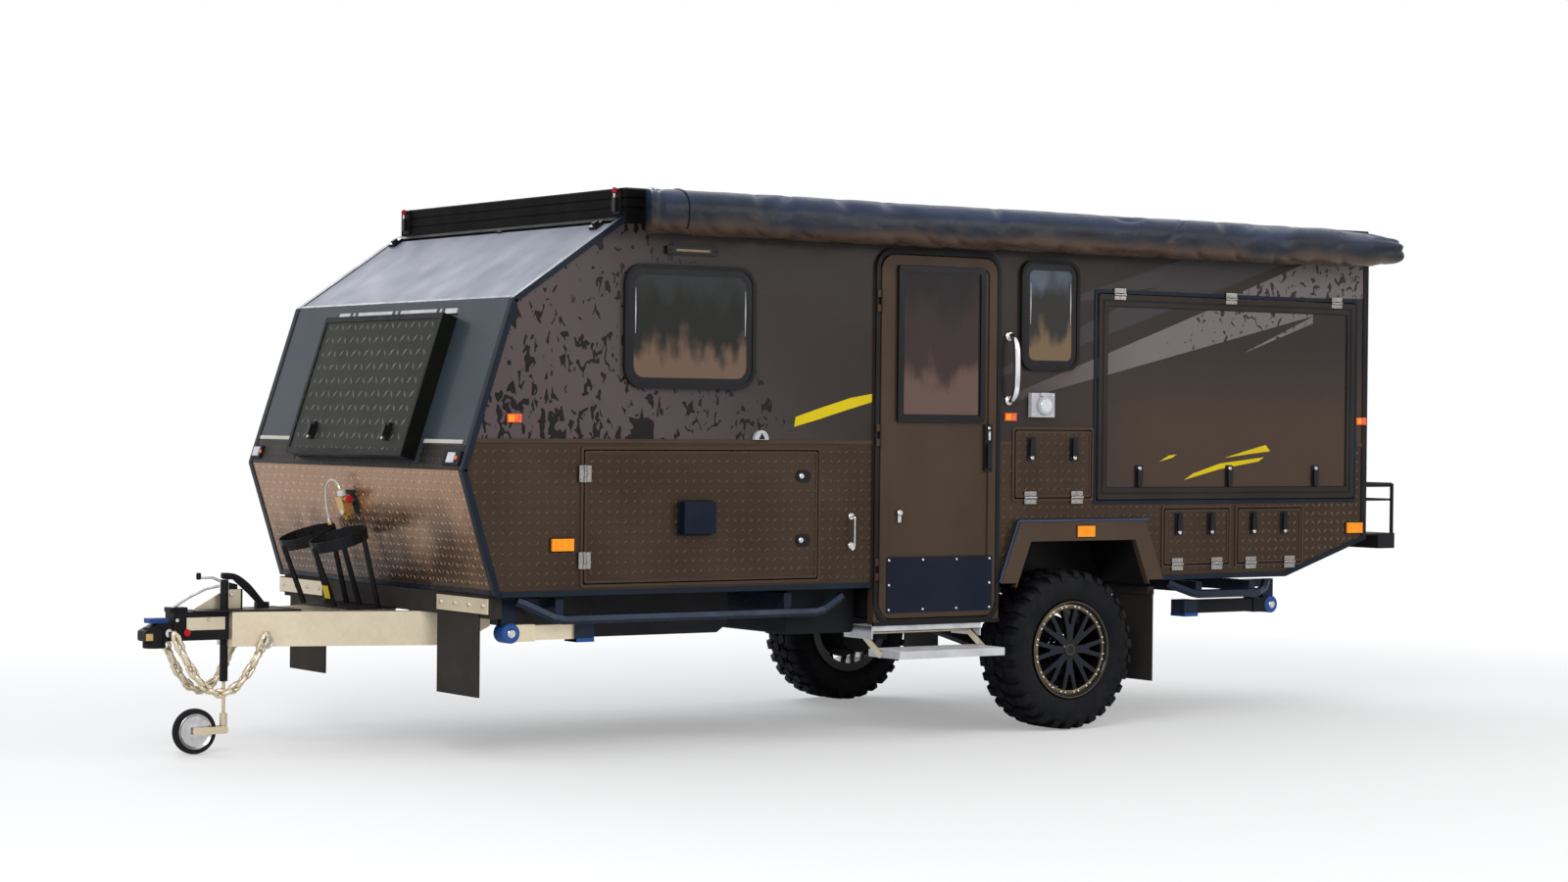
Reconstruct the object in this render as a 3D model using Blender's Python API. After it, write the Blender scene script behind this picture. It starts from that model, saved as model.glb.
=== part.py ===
"""Hybrid camper trailer: a pop-top off-road caravan body on a single axle, standing on its jockey wheel.

Every length is in metres. In the trailer's own frame x runs rearward from the knee of the front wall,
y runs to the far side from the centreline (the entry door is on the -y side) and z is up from the ground.
The empty named "trailer" moves that frame so that the middle of the whole outline is over the world origin.
"""
import math

import bmesh
import bpy
from mathutils import Matrix, Vector

# Clearances
SEAT = 0.0003            # two pieces that touch
REVEAL = 0.006           # round a leaf in its opening

# Body shell
HALF = 1.05              # half the body's width
WALL = 0.032             # sandwich wall
FLOOR_TOP = 0.83
FLOOR_THICK = 0.030
BODY_BOTTOM = 0.720
BELT_Z = 1.388           # where the tread plate meets the upper wall
KNEE_Z = 1.258
NOSE_FOOT_X = 0.170      # lower corner of the front wall
ROOF_Z = 2.367           # top of the fixed body
BROW = (0.241, ROOF_Z - 0.373)    # top of the steep front panel
ROOF_FRONT_X = 0.790
REAR_X = 5.321
DEPART_X = 4.756         # where the underside turns up
DEPART_Z = 0.903
FRAME_HIGH = 0.030       # ring on which the pop-top rests
FRAME_WIDE = 0.080

# Pop-top roof and awning
POP_HIGH = 0.125
POP_SKIN = 0.025
POP_SKIRT = 0.014
POP_OVER = 0.010         # how far its front stands behind the roof corner
POP_RIBS = 3
POP_GROOVE = 0.008       # height of the groove between two ribs
POP_GROOVE_DEEP = 0.006
AWNING_X = (0.760, 5.370)
AWNING_Z = (ROOF_Z - 0.089, ROOF_Z + POP_HIGH + 0.008)
AWNING_OUT = HALF + 0.250      # outer face of the awning bag, from the centreline
AWNING_RAIL = 0.0147
CANVAS_THICK = 0.010
CANVAS_HIGH = 0.070

# Wheels
TYRE_R = 0.388
TYRE_WIDE = 0.265
TYRE_BULGE_R = 0.310      # where the side wall is widest
TYRE_LUGS = 16
RIM_R = 0.236
RIM_SEAT_R = 0.215
WHEEL_X = 3.363
WHEEL_FACE = HALF        # outer face of the tyre, from the centreline
SPOKES = 8
ARCH_TOP = 0.925
ARCH_IN = 0.700          # inner wall of the wheel well, from the centreline
ARCH_FOOT = (2.987, 3.818)
ARCH_HEAD = (3.068, 3.735)
FLARE_OUT = 0.026
FLARE_LAMP = 0.004       # how far the side lamp stands out from the flare
FLARE_WIDE = 0.088

# Chassis
RAIL_Y = 0.475           # middle of a chassis rail, from the centreline
RAIL_WIDE = 0.050
RAIL_X = (0.260, 4.700)
RAIL_LOW = BODY_BOTTOM + 0.002
RIBS_X = (0.60, 1.30, 2.16, 2.80, 4.05, 4.60)
BEAM_HIGH = 0.152        # drawbar beam
BEAM_BOTTOM = 0.470
BEAM_TOP = BEAM_BOTTOM + BEAM_HIGH
BEAM_WIDE = 0.050
BEAM_FRONT = (-0.600, 0.080)   # x, and the outer face from the centreline
BEAM_REAR = (0.460, 0.479)
CROSSBAR_X = (0.165, 0.225)

# Jockey wheel
JACK_X = -0.603
JACK_R = 0.018
JACK_TOP = 0.760
JACK_FOOT = 0.314
ROD_R = 0.008
JOCKEY_R = 0.100
JOCKEY_WIDE = 0.045
JOCKEY_X = -0.740

# Outline of the whole trailer, which sets the origin
NOSE_X = -0.990
TAIL_X = 5.640          # outer face of the spare wheel
MIDDLE = Vector(((NOSE_X + TAIL_X) / 2, (HALF + FLARE_OUT + FLARE_LAMP - AWNING_OUT) / 2, 0))

NEAR, FAR = -1, 1

COLOURS = {
    "upper_wall": ((0.055, 0.050, 0.048), 0.45, 0.0),
    "tread_plate": ((0.060, 0.045, 0.038), 0.40, 0.6),
    "front_skin": ((0.12, 0.14, 0.16), 0.35, 0.3),
    "black_paint": ((0.012, 0.012, 0.014), 0.45, 0.0),
    "galvanised": ((0.55, 0.52, 0.46), 0.40, 0.9),
    "aluminium": ((0.60, 0.62, 0.64), 0.30, 1.0),
    "zinc_gold": ((0.62, 0.50, 0.32), 0.35, 0.9),
    "rubber": ((0.018, 0.018, 0.018), 0.85, 0.0),
    "tyre": ((0.016, 0.016, 0.016), 0.85, 0.0),
    "wheel_black": ((0.010, 0.010, 0.012), 0.25, 0.3),
    "vinyl": ((0.030, 0.030, 0.034), 0.50, 0.0),
    "canvas": ((0.20, 0.21, 0.21), 0.90, 0.0),
    "tinted": ((0.030, 0.025, 0.022), 0.08, 0.0),
    "door_skin": ((0.070, 0.058, 0.050), 0.45, 0.2),
    "tank": ((0.02, 0.03, 0.06), 0.55, 0.0),
    "chrome": ((0.75, 0.75, 0.76), 0.12, 1.0),
    "brass": ((0.60, 0.45, 0.20), 0.30, 1.0),
}


def material(name):
    found = bpy.data.materials.get(name)
    if found:
        return found
    colour, rough, metal = COLOURS[name]
    made = bpy.data.materials.new(name)
    made.use_nodes = True
    shader = made.node_tree.nodes["Principled BSDF"]
    shader.inputs["Base Color"].default_value = (*colour, 1)
    shader.inputs["Roughness"].default_value = rough
    shader.inputs["Metallic"].default_value = metal
    return made


# Shapes: each function gives a closed mesh in the trailer's frame

def finish(shape):
    bmesh.ops.recalc_face_normals(shape, faces=shape.faces)
    mesh = bpy.data.meshes.new("shape")
    shape.to_mesh(mesh)
    shape.free()
    return mesh


def box(x, y, z):
    """A block between the pairs x, y and z."""
    shape = bmesh.new()
    bmesh.ops.create_cube(shape, size=1)
    for vert in shape.verts:
        shares = [part + 0.5 for part in vert.co]
        vert.co = Vector(low + share * (high - low) for (low, high), share in zip((x, y, z), shares))
    return finish(shape)


def mirrored(y_pair, side):
    """The pair of distances from the centreline, on the near or the far side."""
    return tuple(sorted(side * y for y in y_pair))


def prism(outline, along, low, high):
    """An outline in the plane across the axis "along", extruded from low to high.

    The outline's points are (x, z) along Y, (y, z) along X and (x, y) along Z.
    """
    def point(a, b, c):
        return {"X": (c, a, b), "Y": (a, c, b), "Z": (a, b, c)}[along]

    shape = bmesh.new()
    ends = [[shape.verts.new(point(a, b, c)) for a, b in outline] for c in (low, high)]
    for end in ends:
        shape.faces.new(end)
    count = len(outline)
    for i in range(count):
        j = (i + 1) % count
        shape.faces.new((ends[0][i], ends[0][j], ends[1][j], ends[1][i]))
    return finish(shape)


def rectangle(x, z):
    return [(x[0], z[0]), (x[1], z[0]), (x[1], z[1]), (x[0], z[1])]


def grown(x, z, by):
    """A rectangle made larger all round."""
    return rectangle((x[0] - by, x[1] + by), (z[0] - by, z[1] + by))


def rounded(outline, radius, steps=4):
    """The outline with each corner turned into an arc; radius is one value or one for each corner."""
    radii = radius if isinstance(radius, (list, tuple)) else [radius] * len(outline)
    points = []
    for i, corner in enumerate(outline):
        here = Vector(corner)
        back = (Vector(outline[i - 1]) - here).normalized()
        ahead = (Vector(outline[(i + 1) % len(outline)]) - here).normalized()
        if radii[i] <= 0:
            points.append(tuple(here))
            continue
        half = back.angle(ahead) / 2
        run = radii[i] / math.tan(half)
        centre = here + (back + ahead).normalized() * (radii[i] / math.sin(half))
        start, end = here + back * run - centre, here + ahead * run - centre
        turn = start.angle_signed(end)
        for k in range(steps + 1):
            swing = Matrix.Rotation(-turn * k / steps, 2)
            points.append(tuple(centre + swing @ start))
    return points


def turned(profile, segments, centre, axis="Y", radius_at=None):
    """A closed outline of (distance along the axis, radius) points, turned round the axis at centre.

    radius_at(point index, segment index, radius) may change a radius, as for tread lugs.
    """
    shape = bmesh.new()
    rings = []
    for s in range(segments):
        angle = 2 * math.pi * s / segments
        ring = []
        for i, (along, radius) in enumerate(profile):
            r = radius_at(i, s, radius) if radius_at else radius
            u, v = r * math.cos(angle), r * math.sin(angle)
            offset = {"X": (along, u, v), "Y": (u, along, v), "Z": (u, v, along)}[axis]
            ring.append(shape.verts.new(Vector(centre) + Vector(offset)))
        rings.append(ring)
    for s in range(segments):
        here, beyond = rings[s], rings[(s + 1) % segments]
        for i in range(len(profile)):
            j = (i + 1) % len(profile)
            shape.faces.new((here[i], here[j], beyond[j], beyond[i]))
    return finish(shape)


def cylinder(centre, radius, low, high, axis="Z", segments=16):
    """A round bar whose axis passes through centre, from low to high along the axis."""
    ring = [(radius * math.cos(2 * math.pi * k / segments), radius * math.sin(2 * math.pi * k / segments))
            for k in range(segments)]
    a, b = {"X": (1, 2), "Y": (0, 2), "Z": (0, 1)}[axis]
    return prism([(u + centre[a], v + centre[b]) for u, v in ring], axis, low, high)


def bar(points, radius, sides=8, closed=False, flat=1.0):
    """A round bar bent through the points; flat squeezes its section across the bend's plane."""
    shape = bmesh.new()
    points = [Vector(p) for p in points]
    count = len(points)
    rings = []
    side = None
    for i, here in enumerate(points):
        before = points[i - 1] if i or closed else here
        after = points[(i + 1) % count] if i < count - 1 or closed else here
        run = (after - before).normalized()
        if side is None:
            side = run.orthogonal().normalized()
        side = (side - run * side.dot(run)).normalized()
        up = run.cross(side)
        rings.append([shape.verts.new(here + radius * (math.cos(t) * side + flat * math.sin(t) * up))
                      for t in (2 * math.pi * (k + 0.5) / sides for k in range(sides))])
    spans = range(count if closed else count - 1)
    for i in spans:
        here, beyond = rings[i], rings[(i + 1) % count]
        for k in range(sides):
            m = (k + 1) % sides
            shape.faces.new((here[k], here[m], beyond[m], beyond[k]))
    if not closed:
        shape.faces.new(rings[0])
        shape.faces.new(rings[-1])
    return finish(shape)


def boolean(mesh, other, operation):
    target = bpy.data.objects.new("target", mesh)
    tool = bpy.data.objects.new("tool", other)
    for piece in (target, tool):
        bpy.context.scene.collection.objects.link(piece)
    cut = target.modifiers.new("cut", "BOOLEAN")
    cut.operation = operation
    cut.solver = "EXACT"
    cut.object = tool
    bpy.context.view_layer.update()
    result = bpy.data.meshes.new_from_object(target.evaluated_get(bpy.context.evaluated_depsgraph_get()))
    for piece in (target, tool):
        bpy.data.objects.remove(piece)
    return result


def union(first, *others):
    for other in others:
        first = boolean(first, other, "UNION")
    return first


def cut(first, *others):
    for other in others:
        first = boolean(first, other, "DIFFERENCE")
    return first


def tilted(mesh, centre, angle, axis):
    """The mesh turned by angle about an axis through centre."""
    turn = Matrix.Translation(centre) @ Matrix.Rotation(angle, 4, axis) @ Matrix.Translation(-Vector(centre))
    copy = mesh.copy()
    copy.transform(turn)
    return copy


def piece(name, mesh, finish_name, pivot=(0, 0, 0), smooth=False):
    """A named sub-part whose origin is at pivot."""
    mesh.transform(Matrix.Translation(-Vector(pivot)))
    mesh.name = name
    mesh.materials.clear()
    mesh.materials.append(material(finish_name))
    if smooth:
        mesh.shade_smooth()
        mesh.set_sharp_from_angle(angle=math.radians(35))
    made = bpy.data.objects.new(name, mesh)
    made.location = pivot
    made.parent = trailer
    bpy.context.scene.collection.objects.link(made)
    return made


# Hinges

LEAF_THICK = 0.028
LEAF_PROUD = 0.004
AXIS_OUT = 0.010         # how far a hatch's hinge axis stands out from the wall
KNUCKLE_R = 0.006
PIN_GAP = 0.0004         # between knuckles, along their axis
HINGE_PLATE = 0.028


def placed(mesh, along, toward, out, at):
    """A mesh built in (along, toward, out) coordinates, set at its place."""
    rotation = Matrix((along, toward, out)).transposed().to_4x4()
    shape = bmesh.new()
    shape.from_mesh(mesh)
    bmesh.ops.transform(shape, matrix=Matrix.Translation(at) @ rotation, verts=shape.verts)
    return finish(shape)


def hinge(at, along, toward, out, leaf, wall, length=0.075, radius=KNUCKLE_R):
    """The moving and the fixed half of a hinge about an axis through at.

    leaf and wall are each half's plate: its reach across the axis and its depth outward.
    """
    third = length / 6
    middle = union(cylinder((0, 0, 0), radius, -third, third, "X", 6), box((-third, third), *leaf))
    ends = None
    for low, high in ((-length / 2, -third - PIN_GAP), (third + PIN_GAP, length / 2)):
        end = union(cylinder((0, 0, 0), radius, low, high, "X", 6), box((low, high), *wall))
        ends = (ends or []) + [placed(end, along, toward, out, at)]
    return placed(middle, along, toward, out, at), ends


def leaf_hinges(name, side=-1):
    """Both halves of the hinges of one hatch in a side wall, at its hinged edge."""
    x, z, _ = LEAVES[name]
    out = Vector((0, side, 0))
    y = side * (HALF + AXIS_OUT)
    edge, places = HINGED_EDGE[name]
    leaf_w = (LEAF_PROUD - AXIS_OUT - 0.002, LEAF_PROUD - AXIS_OUT + 0.004)
    wall_w = (-AXIS_OUT - 0.002, -AXIS_OUT + 0.007)
    halves = []
    for share in places:
        if edge == "front":
            at = (x[0] + REVEAL, y, z[0] + share * (z[1] - z[0]))
            along, toward = Vector((0, 0, 1)), Vector((1, 0, 0))
        else:
            at = (x[0] + share * (x[1] - x[0]), y, z[0] + REVEAL if edge == "bottom" else z[1] - REVEAL)
            along, toward = Vector((1, 0, 0)), Vector((0, 0, 1 if edge == "bottom" else -1))
        halves.append(hinge(at, along, toward, out, ((0, HINGE_PLATE), leaf_w), ((-HINGE_PLATE, 0), wall_w)))
    return [half[0] for half in halves], [end for half in halves for end in half[1]]


# Body shell

INNER = HALF - WALL
SILL_Z = 0.566
DOOR_X = (2.173, 2.864)
DOOR_TOP = ROOF_Z - 0.105
DOOR_RADIUS = 0.075
DOOR_EDGE = 0.022        # visible width of the fixed frame round the door
DOOR_PROUD = 0.012
DOOR_LIP = 0.018
DOOR_INNER = -INNER - 0.008    # inner face of the door leaf

# Openings in the near wall: x pair, z pair, corner radius
LEAVES = {
    "storage_hatch": ((0.594, 1.842), (0.762, BELT_Z - 0.038), 0.010),
    "table_hatch": ((2.982, 3.464), (1.120, BELT_Z + 0.064), 0.010),
    "kitchen_hatch": ((3.490, 5.232), (1.108, ROOF_Z - 0.247), 0.014),
    "locker_front": ((3.931, 4.368), (0.785, 1.068), 0.008),
    "locker_rear": ((4.421, 4.867), (0.785, 1.068), 0.008),
}
# Hinged edge of each leaf, and the hinges' places as shares of that edge
HINGED_EDGE = {
    "storage_hatch": ("front", (0.18, 0.82)),
    "table_hatch": ("bottom", (0.20, 0.80)),
    "kitchen_hatch": ("top", (0.08, 0.50, 0.92)),
    "locker_front": ("bottom", (0.20, 0.80)),
    "locker_rear": ("bottom", (0.20, 0.80)),
}
WINDOWS = {
    "front_window": ((0.811, 1.457), (BELT_Z + 0.252, ROOF_Z - 0.224), 0.070),
    "small_window": ((3.030, 3.345), (BELT_Z + 0.369, ROOF_Z - 0.127), 0.050),
}
WINDOW_RIM = 0.016       # how far a window laps the wall outside
WINDOW_PROUD = 0.014


def side_outline(top):
    """The whole side of the body, up to the height top."""
    rise = (top - BROW[1]) / (ROOF_Z - BROW[1])
    corner_x = BROW[0] + rise * (ROOF_FRONT_X - BROW[0])
    return [(NOSE_FOOT_X, BODY_BOTTOM), (DEPART_X, BODY_BOTTOM), (REAR_X, DEPART_Z), (REAR_X, top),
            (corner_x, top), BROW, (0, KNEE_Z)]


def through_wall(outline, side):
    low, high = mirrored((INNER - 0.1, HALF + 0.1), side)
    return prism(outline, "Y", low, high)


def opening(spec, side):
    x, z, radius = spec
    return through_wall(rounded(rectangle(x, z), radius), side)


# Lamps and boxes fused to the walls: which sides, middle x, z pair, half their length, how far out and
# corner radius
WALL_FORMS = {
    "side_upper": (
        ("both", 0.247, (1.464, 1.500), 0.034, 0.009, 0.006),      # marker lamps
        ("both", 5.279, (1.491, 1.527), 0.034, 0.009, 0.006),
        ("near", 1.141, (ROOF_Z - 0.155, ROOF_Z - 0.119), 0.136, 0.015, 0.008),    # strip lamp
    ),
    "side_lower": (
        ("both", 0.490, (0.911, 0.963), 0.054, 0.013, 0.008),      # amber side lamps
        ("both", 5.237, (0.932, 0.984), 0.054, 0.013, 0.008),
    ),
}
FLARE_LAMP_AT = (3.413, (0.936, 0.988), 0.054)
FORM_ROOT = 0.004        # how deep a fused form starts below its carrier's face
DOME_LAMP = (1.516, 0.037, 0.042, 0.018)       # x, half its width, its height above the belt, how far out


def wall_forms(part, side, x_range=(-1, 6)):
    """The lamps and boxes of one wall that stand within x_range."""
    shapes = []
    for sides, x, z, half, out, radius in WALL_FORMS[part]:
        if (sides == "both" or side == NEAR) and x_range[0] < x < x_range[1]:
            outline = rounded(rectangle((x - half, x + half), z), radius, 1)
            shapes.append(prism(outline, "Y", *mirrored((HALF - FORM_ROOT, HALF + out), side)))
    return shapes


def dome_lamp():
    """The half-round lamp just above the belt, on the near side."""
    x, wide, high, out = DOME_LAMP
    half_round = [(x + wide * math.cos(math.pi * k / 6), BELT_Z + 0.008 + high * math.sin(math.pi * k / 6))
                  for k in range(7)]
    return prism(half_round, "Y", -HALF - out, -HALF + FORM_ROOT)


LIP_WIDE = 0.020         # the rebate behind a leaf, from the opening's edge


def rebated(spec, side):
    """An opening whose inner part is smaller, so that a lip stands behind the leaf."""
    x, z, radius = spec
    depth = HALF + LEAF_PROUD - LEAF_THICK - SEAT
    outside = prism(rounded(rectangle(x, z), radius, 2), "Y", *mirrored((depth, HALF + 0.1), side))
    inner = grown(x, z, -LIP_WIDE)
    return union(outside, prism(inner, "Y", *mirrored((INNER - 0.1, depth + 0.01), side)))


def arch_outline(spread=0.0, foot=BODY_BOTTOM - 0.05):
    """The wheel opening, made wider all round by spread."""
    lean_front = (ARCH_HEAD[0] - ARCH_FOOT[0]) / (ARCH_TOP - BODY_BOTTOM)
    lean_rear = (ARCH_FOOT[1] - ARCH_HEAD[1]) / (ARCH_TOP - BODY_BOTTOM)
    drop = BODY_BOTTOM - foot
    top = ARCH_TOP + spread
    rise = top - foot
    front_foot = ARCH_FOOT[0] - spread * math.hypot(1, lean_front) - drop * lean_front
    rear_foot = ARCH_FOOT[1] + spread * math.hypot(1, lean_rear) + drop * lean_rear
    return [(front_foot, foot), (rear_foot, foot), (rear_foot - rise * lean_rear, top),
            (front_foot + rise * lean_front, top)]


def door_outline(spread=0.0):
    """The doorway, rounded at its top corners."""
    x = (DOOR_X[0] - spread, DOOR_X[1] + spread)
    radii = [0, 0, DOOR_RADIUS + spread, DOOR_RADIUS + spread]
    return rounded(rectangle(x, (SILL_Z - spread, DOOR_TOP + spread)), radii, 5)


def side_walls():
    wall_top = ROOF_Z - FRAME_HIGH - SEAT
    for side, name in ((NEAR, "left"), (FAR, "right")):
        low, high = mirrored((INNER, HALF), side)
        whole = prism(side_outline(wall_top), "Y", low, high)
        upper = cut(whole.copy(), through_wall(rectangle((-1, 6), (0, BELT_Z + SEAT / 2)), side))
        lower = cut(whole, through_wall(rectangle((-1, 6), (BELT_Z - SEAT / 2, 3)), side))
        lower = cut(lower, through_wall(arch_outline(SEAT), side))
        upper = cut(upper, opening(WINDOWS["front_window"], side))
        if side == FAR:
            lower = cut(lower, rebated(LEAVES["storage_hatch"], side))
            lower = union(lower, *leaf_hinges("storage_hatch", side)[1], *wall_forms("side_lower", side))
            piece("side_upper_right", union(upper, *wall_forms("side_upper", side)), "upper_wall")
            piece("side_lower_right", lower, "tread_plate")
            continue
        doorway = through_wall(door_outline(DOOR_EDGE + SEAT), side)
        upper = cut(upper, opening(WINDOWS["small_window"], side), rebated(LEAVES["table_hatch"], side),
                    rebated(LEAVES["kitchen_hatch"], side), doorway)
        for leaf in ("storage_hatch", "table_hatch", "kitchen_hatch", "locker_front", "locker_rear"):
            lower = cut(lower, rebated(LEAVES[leaf], side))
        past = (DOOR_X[0] - DOOR_EDGE - SEAT, DOOR_X[1] + DOOR_EDGE + SEAT)
        front = cut(lower.copy(), through_wall(rectangle((past[0], 6), (0, 3)), side))
        rear = cut(lower, through_wall(rectangle((-1, past[1]), (0, 3)), side))
        front = union(front, *leaf_hinges("storage_hatch")[1], *wall_forms("side_lower", side, (-1, past[0])))
        upper = union(upper, *leaf_hinges("kitchen_hatch")[1])
        upper = union(upper, *wall_forms("side_upper", side), dome_lamp())
        rear = union(rear, *wall_forms("side_lower", side, (past[1], 6)))
        for leaf in ("table_hatch", "locker_front", "locker_rear"):
            rear = union(rear, *leaf_hinges(leaf)[1])
        piece("side_upper_left", upper, "upper_wall")
        piece("side_lower_front", front, "tread_plate")
        piece("side_lower_rear", rear, "tread_plate")
    frame = cut(prism(door_outline(DOOR_EDGE), "Y", -HALF - DOOR_PROUD, -INNER),
                prism(door_outline(), "Y", -HALF - 1, DOOR_INNER - SEAT),
                prism(door_outline(-DOOR_LIP), "Y", DOOR_INNER - 0.01, 0))
    piece("door_frame", union(frame, *[end for half in door_hinges() for end in half[1]]), "door_skin")


def front_panels():
    """Three flat panels between the side walls, with the stone guard's window opening in the steep one."""
    y = (-INNER + SEAT, INNER - SEAT)
    corners = [(NOSE_FOOT_X, BODY_BOTTOM), (0, KNEE_Z), BROW, (ROOF_FRONT_X, ROOF_Z)]
    panels = (("front_lower", "tread_plate"), ("front_steep", "front_skin"), ("front_slope", "front_skin"))
    for (name, finish_name), low, high in zip(panels, corners, corners[1:]):
        a, b = Vector(low), Vector(high)
        run = (b - a).normalized()
        inward = Vector((run.y, -run.x))
        start, end = a + run * SEAT, b - run * SEAT
        lean_in = 0.35 * WALL
        outline = [start, end, end + inward * WALL - run * lean_in, start + inward * WALL + run * lean_in]
        if name == "front_slope":
            top = ROOF_Z - FRAME_HIGH - SEAT
            share = (top - a.y) / (b.y - a.y)
            end = a + (b - a) * share
            outline = [start, end, end + Vector((WALL / run.y, 0)), start + inward * WALL + run * lean_in]
        mesh = prism([tuple(p) for p in outline], "Y", *y)
        if name == "front_steep":
            mesh = union(mesh, *[end for half in guard_hinges() for end in half[1]])
        piece(name, mesh, finish_name)


TAIL_LAMP_Y = (HALF - 0.230, HALF - 0.040)
TAIL_LAMP_Z = (1.235, 1.345)
TAIL_LAMP_OUT = 0.026


def rear_and_floor():
    y = (-INNER + SEAT, INNER - SEAT)
    wall = prism(rectangle((REAR_X - WALL, REAR_X), (DEPART_Z, ROOF_Z - FRAME_HIGH - SEAT)), "Y", *y)
    for side in (NEAR, FAR):
        lamp = rounded(rectangle(mirrored(TAIL_LAMP_Y, side), TAIL_LAMP_Z), 0.012, 1)
        wall = union(wall, prism(lamp, "X", REAR_X - FORM_ROOT, REAR_X + TAIL_LAMP_OUT))
    piece("rear_wall", wall, "upper_wall")
    low = FLOOR_TOP - FLOOR_THICK
    slope = (DEPART_Z - BODY_BOTTOM) / (REAR_X - DEPART_X)
    front_x = NOSE_FOOT_X + WALL * 1.3
    rear_x = REAR_X - WALL - SEAT
    turn_x = DEPART_X + (low - BODY_BOTTOM) / slope
    rear_low = low + (rear_x - turn_x) * slope
    slab = prism([(front_x, low), (turn_x, low), (rear_x, rear_low), (rear_x, rear_low + FLOOR_THICK),
                  (turn_x, FLOOR_TOP), (front_x, FLOOR_TOP)], "Y", *y)
    inside, outside = RAIL_Y - RAIL_WIDE / 2 - SEAT, RAIL_Y + RAIL_WIDE / 2 + SEAT
    for x in RIBS_X:
        for y_pair in ((-INNER + SEAT, -outside), (-inside, inside), (outside, INNER - SEAT)):
            slab = union(slab, box((x - 0.025, x + 0.025), y_pair, (RAIL_LOW, low + 0.01)))
    for side in (NEAR, FAR):
        y_pair = mirrored((ARCH_IN - SEAT, HALF + 0.1), side)
        slab = cut(slab, prism(arch_outline(SEAT, foot=0.5), "Y", *y_pair))
    piece("floor", slab, "black_paint")


def roof_frame():
    outer = box((ROOF_FRONT_X - 0.012, REAR_X), (-HALF, HALF), (ROOF_Z - FRAME_HIGH, ROOF_Z))
    reach = HALF - FRAME_WIDE
    inner = box((ROOF_FRONT_X + FRAME_WIDE, REAR_X - FRAME_WIDE), (-reach, reach), (2, 3))
    slope = (ROOF_Z - BROW[1]) / (ROOF_FRONT_X - BROW[0])
    ahead = ROOF_FRONT_X - 0.2
    corner = prism([(ahead, ROOF_Z - 0.2 * slope), (ROOF_FRONT_X, ROOF_Z), (ahead, ROOF_Z)], "Y", -2, 2)
    piece("roof_frame", cut(outer, inner, corner), "black_paint")


def wheel_arches():
    """An open-sided well of sheet, with the flat flare round it outside."""
    for side, name in ((NEAR, "left"), (FAR, "right")):
        skin = 0.008
        well = prism(arch_outline(-SEAT), "Y", *mirrored((ARCH_IN, HALF + FLARE_OUT), side))
        hollow = prism(arch_outline(-skin, foot=0.4), "Y", *mirrored((ARCH_IN + skin, HALF + 1), side))
        flare_y = mirrored((HALF + SEAT, HALF + FLARE_OUT), side)
        flare = prism(arch_outline(FLARE_WIDE, foot=BODY_BOTTOM), "Y", *flare_y)
        below = box((0, 6), (-2, 2), (0, BODY_BOTTOM - 0.02))
        x, z, half = FLARE_LAMP_AT
        lamp = prism(rounded(rectangle((x - half, x + half), z), 0.008, 1), "Y",
                     *mirrored((HALF + FLARE_OUT - FORM_ROOT, HALF + FLARE_OUT + FLARE_LAMP), side))
        piece("wheel_arch_" + name, union(cut(union(well, flare), hollow, below), lamp), "tread_plate")


def windows():
    """Acrylic panes that lap the wall outside and fill its opening."""
    for name, side, spec in (("front_window_left", NEAR, "front_window"),
                             ("front_window_right", FAR, "front_window"),
                             ("small_window", NEAR, "small_window")):
        x, z, radius = WINDOWS[spec]
        lap = rounded(grown(x, z, WINDOW_RIM), radius + WINDOW_RIM)
        plug = rounded(grown(x, z, -SEAT), radius)
        outside = prism(lap, "Y", *mirrored((HALF + SEAT, HALF + WINDOW_PROUD), side))
        inside = prism(plug, "Y", *mirrored((INNER, HALF + WINDOW_PROUD - 0.002), side))
        piece(name, union(outside, inside), "tinted")


# Doors and hatches

FRAME_IN = (0.022, 0.0595)        # the kitchen hatch's raised frame, in from its opening's edge
FRAME_OUT = 0.0095
VENT_BOX = ((1.089, 1.253), (0.979, 1.117), 0.049)      # x pair, z pair, how far out


def raised_frame(x, z):
    """The flat frame that stands out round the edge of the kitchen hatch."""
    outer, inner = [grown(x, z, -inset) for inset in FRAME_IN]
    foot = HALF + LEAF_PROUD - 0.002
    return cut(prism(outer, "Y", -HALF - FRAME_OUT, -foot), prism(inner, "Y", -HALF - 0.1, -HALF + 0.1))


def hatch_leaf(name, leaf_name, side, pivot):
    x, z, radius = LEAVES[leaf_name]
    inset = rounded(grown(x, z, -REVEAL), radius, 2)
    leaf = prism(inset, "Y", *mirrored((HALF + LEAF_PROUD - LEAF_THICK, HALF + LEAF_PROUD), side))
    forms = []
    if name == "kitchen_hatch":
        forms.append(raised_frame(x, z))
    if name == "storage_hatch_left":
        forms.append(prism(rounded(rectangle(*VENT_BOX[:2]), 0.008, 1), "Y", -HALF - VENT_BOX[2], -HALF))
    return piece(name, union(leaf, *leaf_hinges(leaf_name, side)[0], *forms), "tread_plate", pivot)


def hatches():
    axis_y = HALF + AXIS_OUT
    x, z, _ = LEAVES["storage_hatch"]
    for side, name in ((NEAR, "storage_hatch_left"), (FAR, "storage_hatch_right")):
        hatch_leaf(name, "storage_hatch", side, (x[0] + REVEAL, side * axis_y, sum(z) / 2))
    for name in ("table_hatch", "locker_front", "locker_rear", "kitchen_hatch"):
        x, z, _ = LEAVES[name]
        edge_z = z[1] - REVEAL if HINGED_EDGE[name][0] == "top" else z[0] + REVEAL
        hatch_leaf(name, name, NEAR, (sum(x) / 2, -axis_y, edge_z))


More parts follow.
